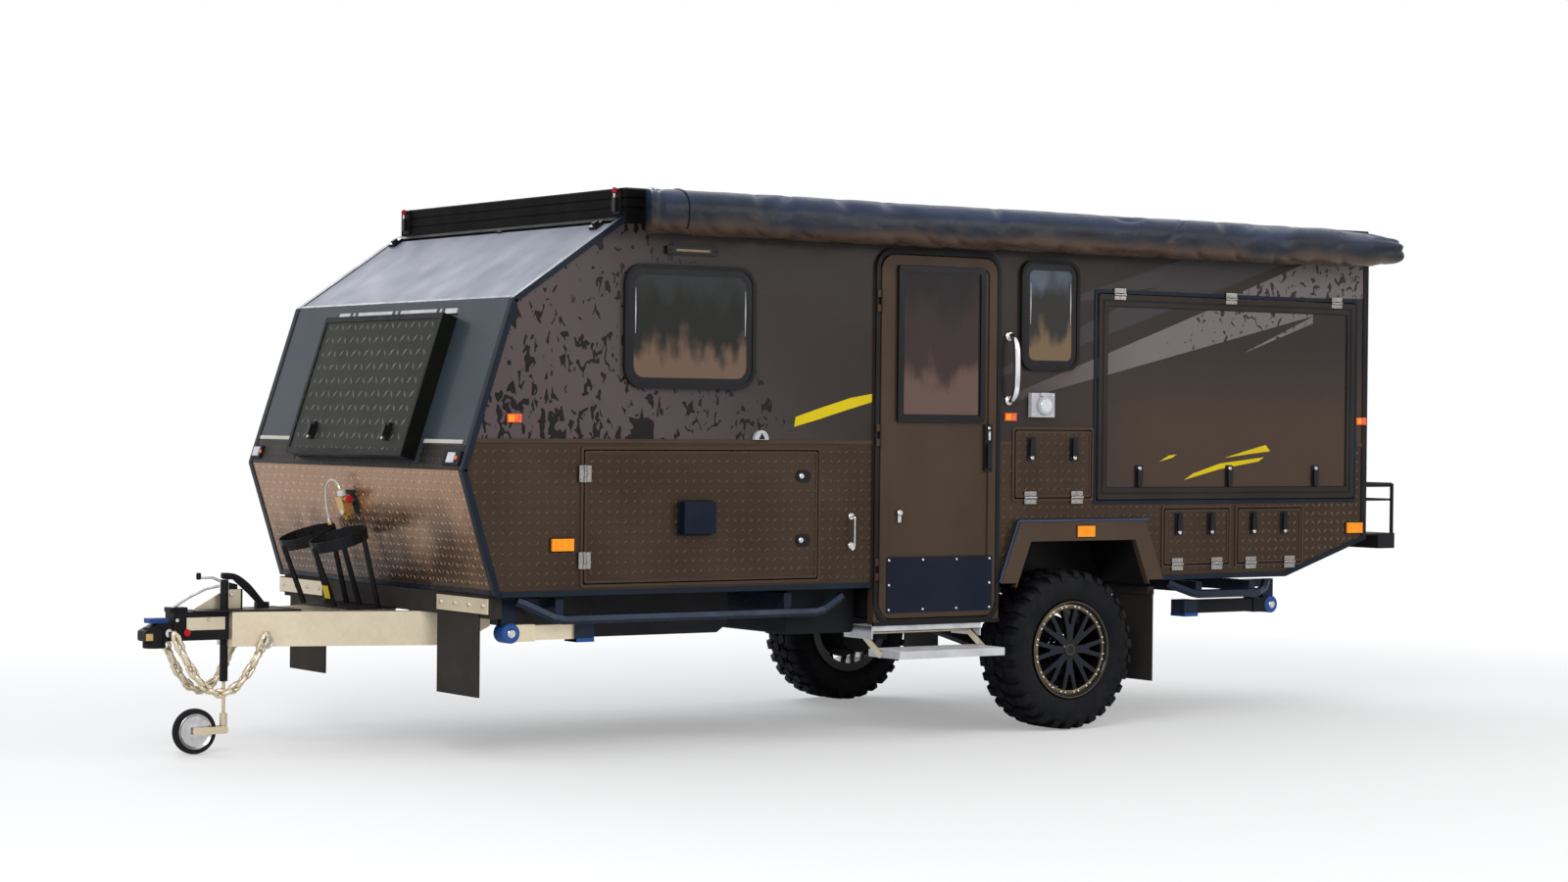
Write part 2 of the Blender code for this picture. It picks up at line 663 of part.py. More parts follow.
DOOR_AXIS_OUT = 0.028
DOOR_HINGES_Z = (0.80, 1.42, ROOF_Z - 0.327)
DOOR_WINDOW = ((2.290, 2.765), (BELT_Z + 0.112, ROOF_Z - 0.177), 0.030)


# Raised plates on the door: x pair, z pair, how far out from its face
DOOR_PLATES = (
    ((2.787, 2.831), (1.253, 1.473), 0.011),      # latch plate
    ((2.798, 2.820), (1.269, 1.379), 0.023),      # its paddle
    ((2.220, 2.837), (0.598, 0.854), 0.009),      # kick plate
)


def door_hinges():
    depth = (DOOR_PROUD - DOOR_AXIS_OUT - 0.002, -0.004)
    return [hinge((DOOR_X[0] + REVEAL, -HALF - DOOR_AXIS_OUT, z), Vector((0, 0, 1)), Vector((1, 0, 0)),
                  Vector((0, -1, 0)), ((0, 0.030), depth), ((-DOOR_EDGE - 0.004, 0), depth), 0.10, 0.008)
            for z in DOOR_HINGES_Z]


def entry_door():
    x = (DOOR_X[0] + REVEAL, DOOR_X[1] - REVEAL)
    outline = rounded(rectangle(x, (SILL_Z + REVEAL, DOOR_TOP - REVEAL)), [0, 0, DOOR_RADIUS, DOOR_RADIUS], 5)
    leaf = prism(outline, "Y", -HALF - DOOR_PROUD, DOOR_INNER - SEAT * 2)
    leaf = cut(leaf, opening(DOOR_WINDOW, NEAR))
    pivot = (x[0], -HALF - DOOR_AXIS_OUT, (SILL_Z + DOOR_TOP) / 2)
    face = -HALF - DOOR_PROUD
    plates = [prism(rounded(rectangle(x_pair, z_pair), 0.008, 1), "Y", face - out, face + FORM_ROOT)
              for x_pair, z_pair, out in DOOR_PLATES]
    piece("entry_door", union(leaf, *[half[0] for half in door_hinges()], *plates), "door_skin", pivot)
    gx, gz, radius = DOOR_WINDOW
    lap = rounded(grown(gx, gz, 0.014), radius + 0.01)
    plug = rounded(grown(gx, gz, -SEAT), radius)
    glass = union(prism(lap, "Y", face - 0.008, face - SEAT),
                  prism(plug, "Y", face - 0.006, DOOR_INNER - 0.002))
    piece("door_window", glass, "tinted", pivot)


GUARD_Y = (-0.600, 0.540)
GUARD_RUN = (0.035, 0.695)      # along the steep panel, up from the knee
GUARD_THICK = 0.070
GUARD_SKIN = 0.008
GUARD_AXIS_UP = 0.012          # hinge axis above its top edge
GUARD_AXIS_OUT = 0.0175
GUARD_HINGES_Y = (-0.45, -0.03, 0.39)


def steep_point(run, out):
    """A point on the steep front panel: run up from the knee, out in front of it."""
    lean = math.atan2(BROW[0], BROW[1] - KNEE_Z)
    return (run * math.sin(lean) - out * math.cos(lean), KNEE_Z + run * math.cos(lean) + out * math.sin(lean))


def guard_frame():
    """The directions along, down and out from the steep panel."""
    foot, head = Vector((*steep_point(0, 0), 0)), Vector((*steep_point(1, 0), 0))
    up = Vector((head.x - foot.x, 0, head.y - foot.y)).normalized()
    return Vector((0, 1, 0)), -up, Vector((-up.z, 0, up.x))


def guard_hinges():
    along, down, out = guard_frame()
    x, z = steep_point(GUARD_RUN[1] + GUARD_AXIS_UP, GUARD_AXIS_OUT)
    return [hinge((x, y, z), along, down, out, ((0, GUARD_AXIS_UP + 0.002), (-0.005, 0.005)),
                  ((-0.030, 0), (-GUARD_AXIS_OUT - 0.002, -0.004))) for y in GUARD_HINGES_Y]


def stone_guard():
    """A shallow tray over the front window, hinged along its top edge."""
    def slab(run, out, y):
        return prism([steep_point(run[0], out[0]), steep_point(run[1], out[0]), steep_point(run[1], out[1]),
                      steep_point(run[0], out[1])], "Y", *y)

    def inside(pair):
        return (pair[0] + GUARD_SKIN, pair[1] - GUARD_SKIN)

    tray = cut(slab(GUARD_RUN, (SEAT, GUARD_THICK), GUARD_Y),
               slab(inside(GUARD_RUN), (-0.1, GUARD_THICK - GUARD_SKIN), inside(GUARD_Y)))
    x, z = steep_point(GUARD_RUN[1] + GUARD_AXIS_UP, GUARD_AXIS_OUT)
    whole = union(tray, *[half[0] for half in guard_hinges()])
    piece("stone_guard", whole, "tread_plate", (x, sum(GUARD_Y) / 2, z))


# Roof and awning

# Each roof latch: y pair from the centreline, z pair above the roof's foot, how far out
LATCH_FORMS = (
    ((HALF - 0.092, HALF - 0.038), (0.014, POP_HIGH - 0.011), 0.0095),    # plate
    ((HALF - 0.078, HALF - 0.052), (0.026, 0.084), 0.0245),               # lever
)


def pop_top():
    """A shallow tray turned over, with ribbed sides, the awning's rail on the near one."""
    x = (ROOF_FRONT_X + POP_OVER, REAR_X + 0.004)
    z = (ROOF_Z + SEAT, ROOF_Z + POP_HIGH)
    inside = HALF - POP_SKIRT
    tray = cut(box(x, (-HALF, HALF), z),
               box((x[0] + POP_SKIRT, x[1] - POP_SKIRT), (-inside, inside), (z[0] - 1, z[1] - POP_SKIN)))
    pitch = (z[1] - z[0]) / POP_RIBS
    for k in range(1, POP_RIBS):
        groove_z = (z[0] + k * pitch - POP_GROOVE / 2, z[0] + k * pitch + POP_GROOVE / 2)
        inside = HALF - POP_GROOVE_DEEP
        ring = cut(box((x[0] - 1, x[1] + 1), (-2, 2), groove_z),
                   box((x[0] + POP_GROOVE_DEEP, x[1] - POP_GROOVE_DEEP), (-inside, inside), (2, 3)))
        tray = cut(tray, ring)
    rail = box((AWNING_X[0] + 0.15, AWNING_X[1] - 0.20), (-HALF - AWNING_RAIL, -HALF + 0.007),
               (z[0] + 0.010, z[1] - 0.030))
    latches = [box((x[0] - out, x[0] + FORM_ROOT), mirrored(y, side), (ROOF_Z + low, ROOF_Z + high))
               for side in (NEAR, FAR) for y, (low, high), out in LATCH_FORMS]
    piece("pop_top", union(tray, rail, *latches), "front_skin", (sum(x) / 2, 0, z[0]))


def awning_bag():
    near, far = -AWNING_OUT, -HALF - AWNING_RAIL - SEAT
    section = rounded(rectangle((near, far), AWNING_Z), [0.07, 0.02, 0.02, 0.09], 5)
    pivot = (sum(AWNING_X) / 2, -HALF, sum(AWNING_Z) / 2)
    piece("awning_bag", prism(section, "X", *AWNING_X), "vinyl", pivot)


def canvas_skirt():
    """The folded canvas between the body and the raised roof."""
    front = ROOF_FRONT_X + POP_OVER

    def block(inset, z):
        return box((front + inset, REAR_X - inset), (inset - HALF, HALF - inset), z)

    outer = block(POP_SKIRT + 0.007, (ROOF_Z + SEAT, ROOF_Z + CANVAS_HIGH))
    inner = block(POP_SKIRT + 0.007 + CANVAS_THICK, (2, 3))
    piece("canvas_skirt", cut(outer, inner), "canvas")


# Chassis and drawbar

def rails():
    for side, name in ((NEAR, "left"), (FAR, "right")):
        y = mirrored((RAIL_Y - RAIL_WIDE / 2, RAIL_Y + RAIL_WIDE / 2), side)
        rail = box(RAIL_X, y, (RAIL_LOW, FLOOR_TOP - FLOOR_THICK - SEAT))
        piece("chassis_rail_" + name, rail, "galvanised")
        piece("drawbar_" + name, drawbar_beam(side), "galvanised")


def drawbar_beam(side):
    """One galvanised beam, from the coupling out to its chassis rail, stepped up to it at the rear."""
    front, rear = Vector(BEAM_FRONT), Vector(BEAM_REAR)
    run = (rear - front).normalized()
    across = BEAM_WIDE / run.x
    plan = [(front.x, side * front.y), (rear.x, side * rear.y), (rear.x, side * (rear.y - across)),
            (front.x, side * (front.y - across))]
    beam = prism(plan, "Z", BEAM_BOTTOM, BEAM_TOP)
    below = BEAM_BOTTOM - 0.01
    scarf_outline = [(rear.x - 0.16, below), (rear.x + 0.1, below), (rear.x + 0.1, BEAM_TOP - 0.01)]
    scarf = prism(scarf_outline, "Y", -2, 2)
    riser_y = mirrored((rear.y - across + 0.002, rear.y), side)
    riser = box((rear.x - 0.10, rear.x), riser_y, (BEAM_TOP - 0.02, RAIL_LOW - SEAT))
    x, y, z = CHAIN_BEAM
    lug_y = mirrored((0.115, y - LINK_WIRE - 0.0021), side)
    lug = box((x - 0.008, x + 0.020), lug_y, (z - 0.020, z + 0.016))
    return union(cut(beam, scarf), riser, lug)


FLAP_Y = (0.550, HALF - 0.130)
FLAP_Z = (0.280, 0.680)
FLAP_THICK = 0.008
CLAMP_Y = (0.560, HALF - 0.030)
CLAMP_Z = (0.640, 0.712)
CLAMP_THICK = 0.014
REAR_FLAP_X = (3.880, 3.920)          # the cross tube behind the wheels
REAR_FLAP_Y = (HALF - 0.33, HALF - 0.03)
REAR_FLAP_Z = (0.215, 0.660)


def front_flaps():
    """The crossbar on the drawbar, with a rubber flap clamped to each end."""
    reach = HALF - 0.050
    face = CROSSBAR_X[0]
    node = box(CROSSBAR_X, (-reach, reach), (BEAM_TOP + SEAT, BODY_BOTTOM - SEAT))
    for side in (NEAR, FAR):
        flap = box((face - FLAP_THICK, face + 0.001), mirrored(FLAP_Y, side), FLAP_Z)
        clamp = box((face - CLAMP_THICK, face + 0.002), mirrored(CLAMP_Y, side), CLAMP_Z)
        node = union(node, flap, clamp)
    piece("front_flaps", node, "rubber")


def rear_flaps():
    """A cross tube behind the wheels, with a rubber flap at each end."""
    x = REAR_FLAP_X
    reach = HALF - 0.050
    node = box(x, (-reach, reach), (0.640, 0.680))
    for side in (NEAR, FAR):
        flap = box((x[0] + 0.010, x[0] + 0.010 + FLAP_THICK), mirrored(REAR_FLAP_Y, side), REAR_FLAP_Z)
        hanger_y = mirrored((RAIL_Y - 0.02, RAIL_Y + 0.02), side)
        hanger = box((x[0] + 0.005, x[1] - 0.005), hanger_y, (0.670, RAIL_LOW - SEAT))
        node = union(node, flap, hanger)
    piece("rear_flaps", node, "rubber")


LINK_WIRE = 0.0055
CHAIN_LINKS = 13
CHAIN_BEAM = (-0.470, 0.150, 0.520)    # the chain's end on the beam, and on the coupling, on the far side
CHAIN_NOSE = (-0.865, 0.068, 0.530)
CHAIN_SAG = 0.255


def coupling():
    top = BEAM_TOP
    plate_outline = [(-0.76, -0.055), (-0.76, 0.055), (-0.30, 0.145), (-0.30, -0.145)]
    plate = prism(plate_outline, "Z", top + SEAT, top + 0.008)
    neck = box((-0.86, -0.60 - SEAT), (-0.045, 0.045), (0.500, top + 0.004))
    head = prism(rounded([(NOSE_X, 0.500), (-0.80, 0.500), (-0.80, 0.575), (-0.92, 0.580), (NOSE_X, 0.545)],
                         [0.01, 0, 0, 0.02, 0.01], 2), "Y", -0.040, 0.040)
    socket = cylinder((-0.93, 0, 0), 0.048, 0.470, 0.560, segments=16)
    bracket = prism([(-0.72, top), (-0.58, 0.715), (-0.50, 0.715), (-0.50, top)], "Y", 0.034, 0.044)
    lever_route = ((-0.40, 0.640), (-0.46, 0.70), (-0.535, 0.765), (-0.585, 0.770))
    lever = bar([(x, 0.052, z) for x, z in lever_route], 0.011)
    foot = box((-0.43, -0.37), (0.036, 0.066), (top + 0.004, 0.655))
    x, y, z = CHAIN_NOSE
    lug_y = (0.040, y - LINK_WIRE - 0.001)
    lugs = [box((x - 0.020, x + 0.008), mirrored(lug_y, side), (z - 0.020, z + 0.012))
            for side in (NEAR, FAR)]
    bore = cylinder((JACK_X, 0, 0), JACK_R + SEAT, 0.3, 0.9, segments=16)
    piece("coupling", cut(union(plate, neck, head, socket, bracket, foot, lever, *lugs), bore), "black_paint")


def chain_points(ends, sag, count):
    """Points that hang in a curve between the two ends."""
    a, b = Vector(ends[0]), Vector(ends[1])
    points = []
    for k in range(count):
        share = k / (count - 1)
        drop = sag * (1 - (2 * share - 1) ** 2)
        points.append(a.lerp(b, share) - Vector((0, 0, drop)))
    return points


def link(middle, along, wide, half):
    """One long six-cornered link of square wire: half is half its length between the end wires' middles."""
    deep = along.cross(wide)
    rings = []
    for depth in (-LINK_WIRE, LINK_WIRE):
        for edge in (LINK_WIRE, -LINK_WIRE):
            long, broad = half + edge, LINK_WIRE * 2 + edge
            rings.append([middle + along * long * u + wide * broad * v + deep * depth for u, v in
                          ((1, 0.55), (0, 1), (-1, 0.55), (-1, -0.55), (0, -1), (1, -0.55))])
    shape = bmesh.new()
    low_out, low_in, high_out, high_in = [[shape.verts.new(p) for p in ring] for ring in rings]
    for here, beyond in ((low_out, low_in), (low_in, high_in), (high_in, high_out), (high_out, low_out)):
        for k in range(6):
            m = (k + 1) % 6
            shape.faces.new((here[k], here[m], beyond[m], beyond[k]))
    return finish(shape)


def chain(name, ends, sag):
    """Links along a hanging curve, each turned a quarter from the last and welded where they cross."""
    nodes = chain_points(ends, sag, CHAIN_LINKS + 1)
    shapes = []
    for k in range(CHAIN_LINKS):
        a, b = nodes[k], nodes[k + 1]
        along = (b - a).normalized()
        flat = Vector((0, 1, 0)).cross(along).normalized()
        wide = along.cross(flat) if k % 2 else flat
        shapes.append(link((a + b) / 2, along, wide, (b - a).length / 2 + LINK_WIRE * 0.6))
    return piece(name, union(*shapes), "zinc_gold")


def chains():
    for side, name in ((NEAR, "left"), (FAR, "right")):
        ends = [(x, side * y, z) for x, y, z in (CHAIN_BEAM, CHAIN_NOSE)]
        chain("safety_chain_" + name, ends, CHAIN_SAG)


def jockey():
    bore = ROD_R + 0.0005
    tube = cut(cylinder((JACK_X, 0, 0), JACK_R, JACK_FOOT, JACK_TOP, segments=16),
               cylinder((JACK_X, 0, 0), bore, JACK_FOOT - 0.1, JACK_FOOT + 0.10, segments=12))
    piece("jockey_jack", tube, "black_paint", smooth=True)
    rod = cylinder((JACK_X, 0, 0), ROD_R, 0.090, JACK_FOOT + 0.0995 - 0.05, segments=12)
    boss = cylinder((JACK_X, 0, 0), 0.017, 0.085, 0.175, segments=12)
    arms = [box((JOCKEY_X - 0.016, JACK_X), mirrored((0.026, 0.032), side), (0.086, 0.118))
            for side in (NEAR, FAR)]
    bridge = box((JACK_X - 0.014, JACK_X + 0.010), (-0.032, 0.032), (0.090, 0.114))
    axle = cylinder((JOCKEY_X, 0, JOCKEY_R), 0.006, -0.034, 0.034, "Y", 10)
    piece("jockey_fork", union(rod, boss, bridge, *arms, axle), "galvanised", (JACK_X, 0, 0.20))
    half = JOCKEY_WIDE / 2
    profile = [(-half, 0.0065), (half, 0.0065), (half, 0.022), (half * 0.5, 0.026), (half * 0.5, 0.062),
               (half * 0.9, 0.072), (half * 0.5, JOCKEY_R), (-half * 0.5, JOCKEY_R), (-half * 0.9, 0.072),
               (-half * 0.5, 0.062), (-half * 0.5, 0.026), (-half, 0.022)]
    hub = (JOCKEY_X, 0, JOCKEY_R)
    piece("jockey_wheel", turned(profile, 16, hub), "rubber", hub, smooth=True)


# Gas bottle holders and regulator

HOLDER_X = -0.060        # middle of the hoops, at the height HOLDER_Z
HOLDER_Z = 0.930
HOLDER_Y = (-0.026, 0.285)
HOLDER_R = 0.134


def panel_lean():
    """How far the lower front panel leans from upright."""
    return math.atan2(NOSE_FOOT_X, KNEE_Z - BODY_BOTTOM)


def gas_holders():
    """Two open hoops on flat legs, leaning with the front panel, on one plate across the drawbar."""
    low = BEAM_TOP
    drop = (HOLDER_Z - low) / math.cos(panel_lean())
    node = None
    for y in HOLDER_Y:
        centre = (HOLDER_X, y, 0)
        hoop = turned([(HOLDER_Z - 0.025, HOLDER_R - 0.008), (HOLDER_Z + 0.025, HOLDER_R - 0.003),
                       (HOLDER_Z + 0.025, HOLDER_R), (HOLDER_Z - 0.025, HOLDER_R - 0.005)], 20, centre, "Z")
        for angle in (60, 180, 300):
            way = Vector((math.cos(math.radians(angle)), math.sin(math.radians(angle)), 0))
            foot = Vector(centre) + way * 0.105 + Vector((0, 0, HOLDER_Z - drop - 0.02))
            head = Vector(centre) + way * (HOLDER_R - 0.004) + Vector((0, 0, HOLDER_Z))
            hoop = union(hoop, bar([foot, head], 0.013, 4))
        hoop = tilted(hoop, (HOLDER_X, y, HOLDER_Z), -panel_lean(), "Y")
        node = union(node, hoop) if node else hoop
    node = cut(node, box((-1, 1), (-1, 1), (0, low + 0.003)))
    plate = box((-0.090, 0.155), (HOLDER_Y[0] - 0.150, HOLDER_Y[1] + 0.060), (low + SEAT, low + 0.008))
    piece("gas_holders", union(plate, node), "black_paint")


def regulator():
    """The gas regulator on the lower front panel, with its pigtail hose."""
    z = 1.100
    face = NOSE_FOOT_X * (KNEE_Z - z) / (KNEE_Z - BODY_BOTTOM)
    y = 0.060
    body = box((face - 0.075, face - 0.020), (y - 0.04, y + 0.04), (z - 0.055, z + 0.050))
    stub = cylinder((0, y, z), 0.016, face - 0.06, face - SEAT, "X", 12)
    cap = cylinder((face - 0.047, y, 0), 0.020, z + 0.04, z + 0.085, segments=12)
    hose = bar([(face + dx, y + dy, z + dz) for dx, dy, dz in
                ((-0.047, 0, 0.075), (-0.047, 0.015, 0.105), (-0.055, 0.055, 0.115), (-0.065, 0.100, 0.080),
                 (-0.070, 0.125, 0.020), (-0.075, 0.130, -0.030), (-0.080, 0.126, -0.075))], 0.005, 6)
    whole = tilted(union(body, stub, cap, hose), (face, y, z), -panel_lean(), "Y")
    piece("gas_regulator", whole, "brass")


# Running gear

HUB_BACK = 0.075         # the hub's back face, in from RIM_FACE
RIM_FACE = TYRE_WIDE / 2 * 0.72    # out from the wheel's middle
SPOKE_OUT = (0.083, 0.107)         # a spoke's back and front, out from the wheel's middle
SPOKE_EDGE = [(0.013, 0.036), (0.021, 0.090), (0.047, 0.198), (0.026, 0.198)]    # across and up one edge
SPOKE_FORK = 0.118                 # radius at which a spoke splits
HUB_R = 0.042                      # the cap that the spokes meet
HUB_FRONT = 0.1105
FLANGE_R = 0.088                   # the plate that the wheel nuts hold


def tyre_profile():
    """Distance from the tyre's middle and radius, from one bead round the tread to the other."""
    half = TYRE_WIDE / 2
    face = [(0.72, RIM_SEAT_R), (0.80, RIM_R + 0.004), (1, TYRE_BULGE_R), (0.90, TYRE_R - 0.018),
            (0.05, TYRE_R - 0.010)]
    bead = (-half * face[0][0], face[0][1])
    return [bead] + [(half * a, r) for a, r in face] + [(-half * a, r) for a, r in face[:0:-1]]


def lugged(point, segment, radius):
    """Tread lugs: two steps up and one down, half a pitch apart on the two halves of the tread."""
    if point in (4, 5):
        return TYRE_R if segment % 3 else radius
    if point in (6, 7):
        return TYRE_R if (segment + 1) % 3 else radius
    return radius


def tyre(centre):
    return turned(tyre_profile(), TYRE_LUGS * 3, centre, radius_at=lugged)


def rim(centre, side):
    """A barrel with a lipped face and split spokes round a recessed hub, open side towards side."""
    x, y, z = centre
    half = TYRE_WIDE / 2
    seat = RIM_SEAT_R - 0.0008
    face = [(0.90, RIM_SEAT_R - 0.022), (0.90, RIM_R), (0.80, RIM_R), (0.72, seat)]
    profile = [(half * a, r) for a, r in face] + [(-half * a, r) for a, r in reversed(face)]
    barrel = turned(profile, 24, centre)
    def outward(low, high):
        return sorted((y + side * low, y + side * high))

    flange = cylinder(centre, FLANGE_R, *outward(RIM_FACE - HUB_BACK, 0.044), "Y", 16)
    cap = cylinder(centre, HUB_R, *outward(0.040, HUB_FRONT), "Y", 12)
    node = union(barrel, flange, cap)
    outline = SPOKE_EDGE + [(0, SPOKE_FORK)] + [(-u, v) for u, v in reversed(SPOKE_EDGE)]
    straight = prism(outline, "Y", *sorted(side * out for out in SPOKE_OUT))
    for k in range(SPOKES):
        spoke = tilted(straight, (0, 0, 0), 2 * math.pi * k / SPOKES, "Y")
        spoke.transform(Matrix.Translation(centre))
        node = union(node, spoke)
    return node


def wheels():
    for side, name in ((NEAR, "left"), (FAR, "right")):
        centre = (WHEEL_X, side * (WHEEL_FACE - TYRE_WIDE / 2), TYRE_R)
        piece("tyre_" + name, tyre(centre), "tyre", centre)
        piece("rim_" + name, rim(centre, side), "wheel_black", centre, smooth=True)


ARM_PIVOT_X = 2.800
DAMPER_Y = 0.560
SPRING_X = 3.230
SPRING_Y = 0.590
HUB_IN = 0.800           # inner face of the wheel hub, from the centreline


def coil(centre, radius, wire, z, turns, steps=6):
    count = int(turns * steps)
    return bar([(centre[0] + radius * math.cos(2 * math.pi * k / steps),
                 centre[1] + radius * math.sin(2 * math.pi * k / steps), z[0] + (z[1] - z[0]) * k / count)
                for k in range(count + 1)], wire, 4)


def suspension():
    """A trailing arm on its hanger, with the stub axle, the coil spring and the damper."""
    rail_low = RAIL_LOW - SEAT
    axle_end = WHEEL_FACE - TYRE_WIDE / 2 + RIM_FACE - HUB_BACK - 0.0005
    for side, name in ((NEAR, "left"), (FAR, "right")):
        x = ARM_PIVOT_X
        hanger = prism([(x - 0.09, rail_low), (x + 0.09, rail_low), (x + 0.04, 0.48), (x - 0.04, 0.48)], "Y",
                       *mirrored((0.440, 0.660), side))
        end = WHEEL_X + 0.05
        arm = prism([(x - 0.02, 0.490), (x - 0.02, 0.560), (3.10, 0.475), (end, 0.440), (end, 0.335),
                     (3.10, 0.385)], "Y", *mirrored((0.530, 0.650), side))
        axle = cylinder((WHEEL_X, 0, TYRE_R), 0.035, *mirrored((0.60, axle_end), side), "Y", 14)
        drum = cylinder((WHEEL_X, 0, TYRE_R), 0.130, *mirrored((0.700, HUB_IN), side), "Y", 20)
        cup = cylinder((SPRING_X, side * SPRING_Y, 0), 0.062, 0.430, 0.470, segments=12)
        seat = cylinder((SPRING_X, side * SPRING_Y, 0), 0.062, 0.680, rail_low, segments=12)
        spring = coil((SPRING_X, side * SPRING_Y), 0.045, 0.009, (0.465, 0.685), 4)
        damper_ends = ((WHEEL_X + 0.03, 0.420), (WHEEL_X + 0.16, 0.700))
        damper = bar([(at, side * DAMPER_Y, z) for at, z in damper_ends], 0.024, 8)
        mount_y = mirrored((DAMPER_Y - 0.09, DAMPER_Y + 0.03), side)
        mount = box((WHEEL_X + 0.10, WHEEL_X + 0.20), mount_y, (0.680, rail_low))
        node = union(hanger, arm, axle, drum, cup, seat, spring, damper, mount)
        piece("suspension_" + name, node, "black_paint")


# Under the body

def tube_bar(points, radius=0.022):
    return bar(points, radius, 6)


LEG_TUBE = 0.030


def under_bars():
    """Front and rear side bars and corner steady legs, each pair on a tube across the body."""
    reach = HALF - 0.030
    leg_in, leg_out = HALF - 0.150, HALF - 0.090
    specs = {
        "under_bars_front": ([(0.285, 0.700), (0.330, 0.682), (0.470, 0.622), (0.520, 0.612), (1.850, 0.612),
                              (1.900, 0.622), (2.000, 0.680)], (0.50, 1.70), (0.290, 0.700), 0.555),
        "under_bars_rear": ([(3.985, 0.700), (4.030, 0.682), (4.150, 0.645), (4.190, 0.638), (4.600, 0.638),
                             (4.640, 0.660), (4.655, 0.700)], (4.20, 4.56), (4.740, 4.140), 0.570),
    }
    for name, (route, cross, leg, leg_z) in specs.items():
        shapes = []
        for x in cross:
            shapes.append(box((x - 0.02, x + 0.02), (-reach, reach), (0.645 if x > 4 else 0.625, 0.700)))
        for side in (NEAR, FAR):
            shapes.append(tube_bar([(x, side * reach, z) for x, z in route]))
            tube, boss, foot, web = [mirrored((leg_in - by, leg_out + by), side)
                                     for by in (0, 0.01, 0.02, -0.015)]
            shapes.append(box((min(leg) + 0.03, max(leg) - 0.03), tube, (leg_z - LEG_TUBE, leg_z + LEG_TUBE)))
            shapes.append(cylinder((leg[0], 0, leg_z), 0.042, *boss, "Y", 12))
            foot_x = sorted((leg[1], leg[1] + math.copysign(0.09, leg[0] - leg[1])))
            shapes.append(box(foot_x, foot, (leg_z - 0.045, leg_z + 0.035)))
            shapes.append(box((leg[0] - 0.035, leg[0] + 0.035), web, (leg_z, 0.700)))
        bridge = (0.27, 0.52) if name.endswith("front") else (4.54, 4.76)
        for side in (NEAR, FAR):
            shapes.append(box(bridge, mirrored((leg_in + 0.015, leg_out - 0.015), side), (0.660, 0.700)))
        piece(name, union(*shapes), "black_paint")


def tanks():
    high = RAIL_LOW - SEAT
    chest = [(0.760, 0.520), (1.420, 0.520), (1.480, 0.560), (1.480, high), (0.760, high)]
    piece("under_box", prism(chest, "Y", 0.19 - HALF, HALF - 0.19), "black_paint")
    tank = rounded(rectangle((1.740, 2.120), (0.505, high)), 0.02, 3)
    piece("water_tank", prism(tank, "Y", 0.10 - HALF, HALF - 0.10), "tank")


# Entry step

STEP_X = (2.160, 2.800)
STEP_FRAME_Y = (0.010 - HALF, 0.230 - HALF)
STEP_FRAME_Z = (0.490, 0.535)
STEP_PIVOT = (0.100 - HALF, 0.500)      # y and z of the arms' upper pivots
STEP_TREAD_PIVOT = (-0.040 - HALF, 0.410)
STEP_DEEP = 0.240
STEP_TREAD_Z = (0.395, 0.430)
STEP_SKIN = 0.006
STEP_ARM_HALF = 0.016
ARM_THICK = 0.006
ARM_GAP = 0.0005         # on each side of an arm, along its pivots


def entry_step():
    """A frame under the sill, a pair of swinging arms joined by their cross rod, and the tread."""
    x_in = (STEP_X[0] + ARM_THICK, STEP_X[1] - ARM_THICK)
    frame = box(STEP_X, (STEP_FRAME_Y[1] - 0.030, STEP_FRAME_Y[1]), STEP_FRAME_Z)
    frame = union(frame, box(STEP_X, (STEP_FRAME_Y[0], STEP_FRAME_Y[0] + 0.030), (0.512, STEP_FRAME_Z[1])))
    for x in ((STEP_X[0], x_in[0]), (x_in[1], STEP_X[1])):
        frame = union(frame, box(x, STEP_FRAME_Y, (0.475, STEP_FRAME_Z[1] - 0.001)))
    for x in ((STEP_X[0], STEP_X[0] + 0.025), (STEP_X[1] - 0.025, STEP_X[1])):
        post = box(x, (STEP_FRAME_Y[1] - 0.028, STEP_FRAME_Y[1] - 0.002),
                   (STEP_FRAME_Z[1] - 0.005, RAIL_LOW - SEAT))
        frame = union(frame, post)
    piece("step_frame", frame, "aluminium")

    pivot, tread = Vector(STEP_PIVOT), Vector(STEP_TREAD_PIVOT)
    run = (tread - pivot).normalized()
    side = Vector((-run.y, run.x)) * STEP_ARM_HALF
    reach = run * STEP_ARM_HALF
    outline = [tuple(p) for p in (pivot - reach + side, pivot - reach - side, tread + reach - side,
                                  tread + reach + side)]
    outside = (x_in[0] + ARM_GAP, x_in[1] - ARM_GAP)
    inside = (outside[0] + ARM_THICK, outside[1] - ARM_THICK)
    arms = [prism(rounded(outline, 0.012, 3), "X", *sorted(x)) for x in zip(outside, inside)]
    rod = cylinder((0, *STEP_PIVOT), 0.007, outside[0] + 0.002, outside[1] - 0.002, "X", 10)
    piece("step_arms", union(*arms, rod), "galvanised", (sum(STEP_X) / 2, *STEP_PIVOT))

    wide = (inside[0] + ARM_GAP, inside[1] - ARM_GAP)
    centre_y = STEP_TREAD_PIVOT[0] - 0.030
    deep = (centre_y - STEP_DEEP / 2, centre_y + STEP_DEEP / 2)
    plate = box(wide, deep, STEP_TREAD_Z)
    skin = STEP_SKIN
    under = box((wide[0] + skin, wide[1] - skin), (deep[0] + skin, deep[1] - skin),
                (0.3, STEP_TREAD_Z[1] - skin))
    piece("step_tread", cut(plate, under), "aluminium", (sum(STEP_X) / 2, *STEP_TREAD_PIVOT))


# Rear end

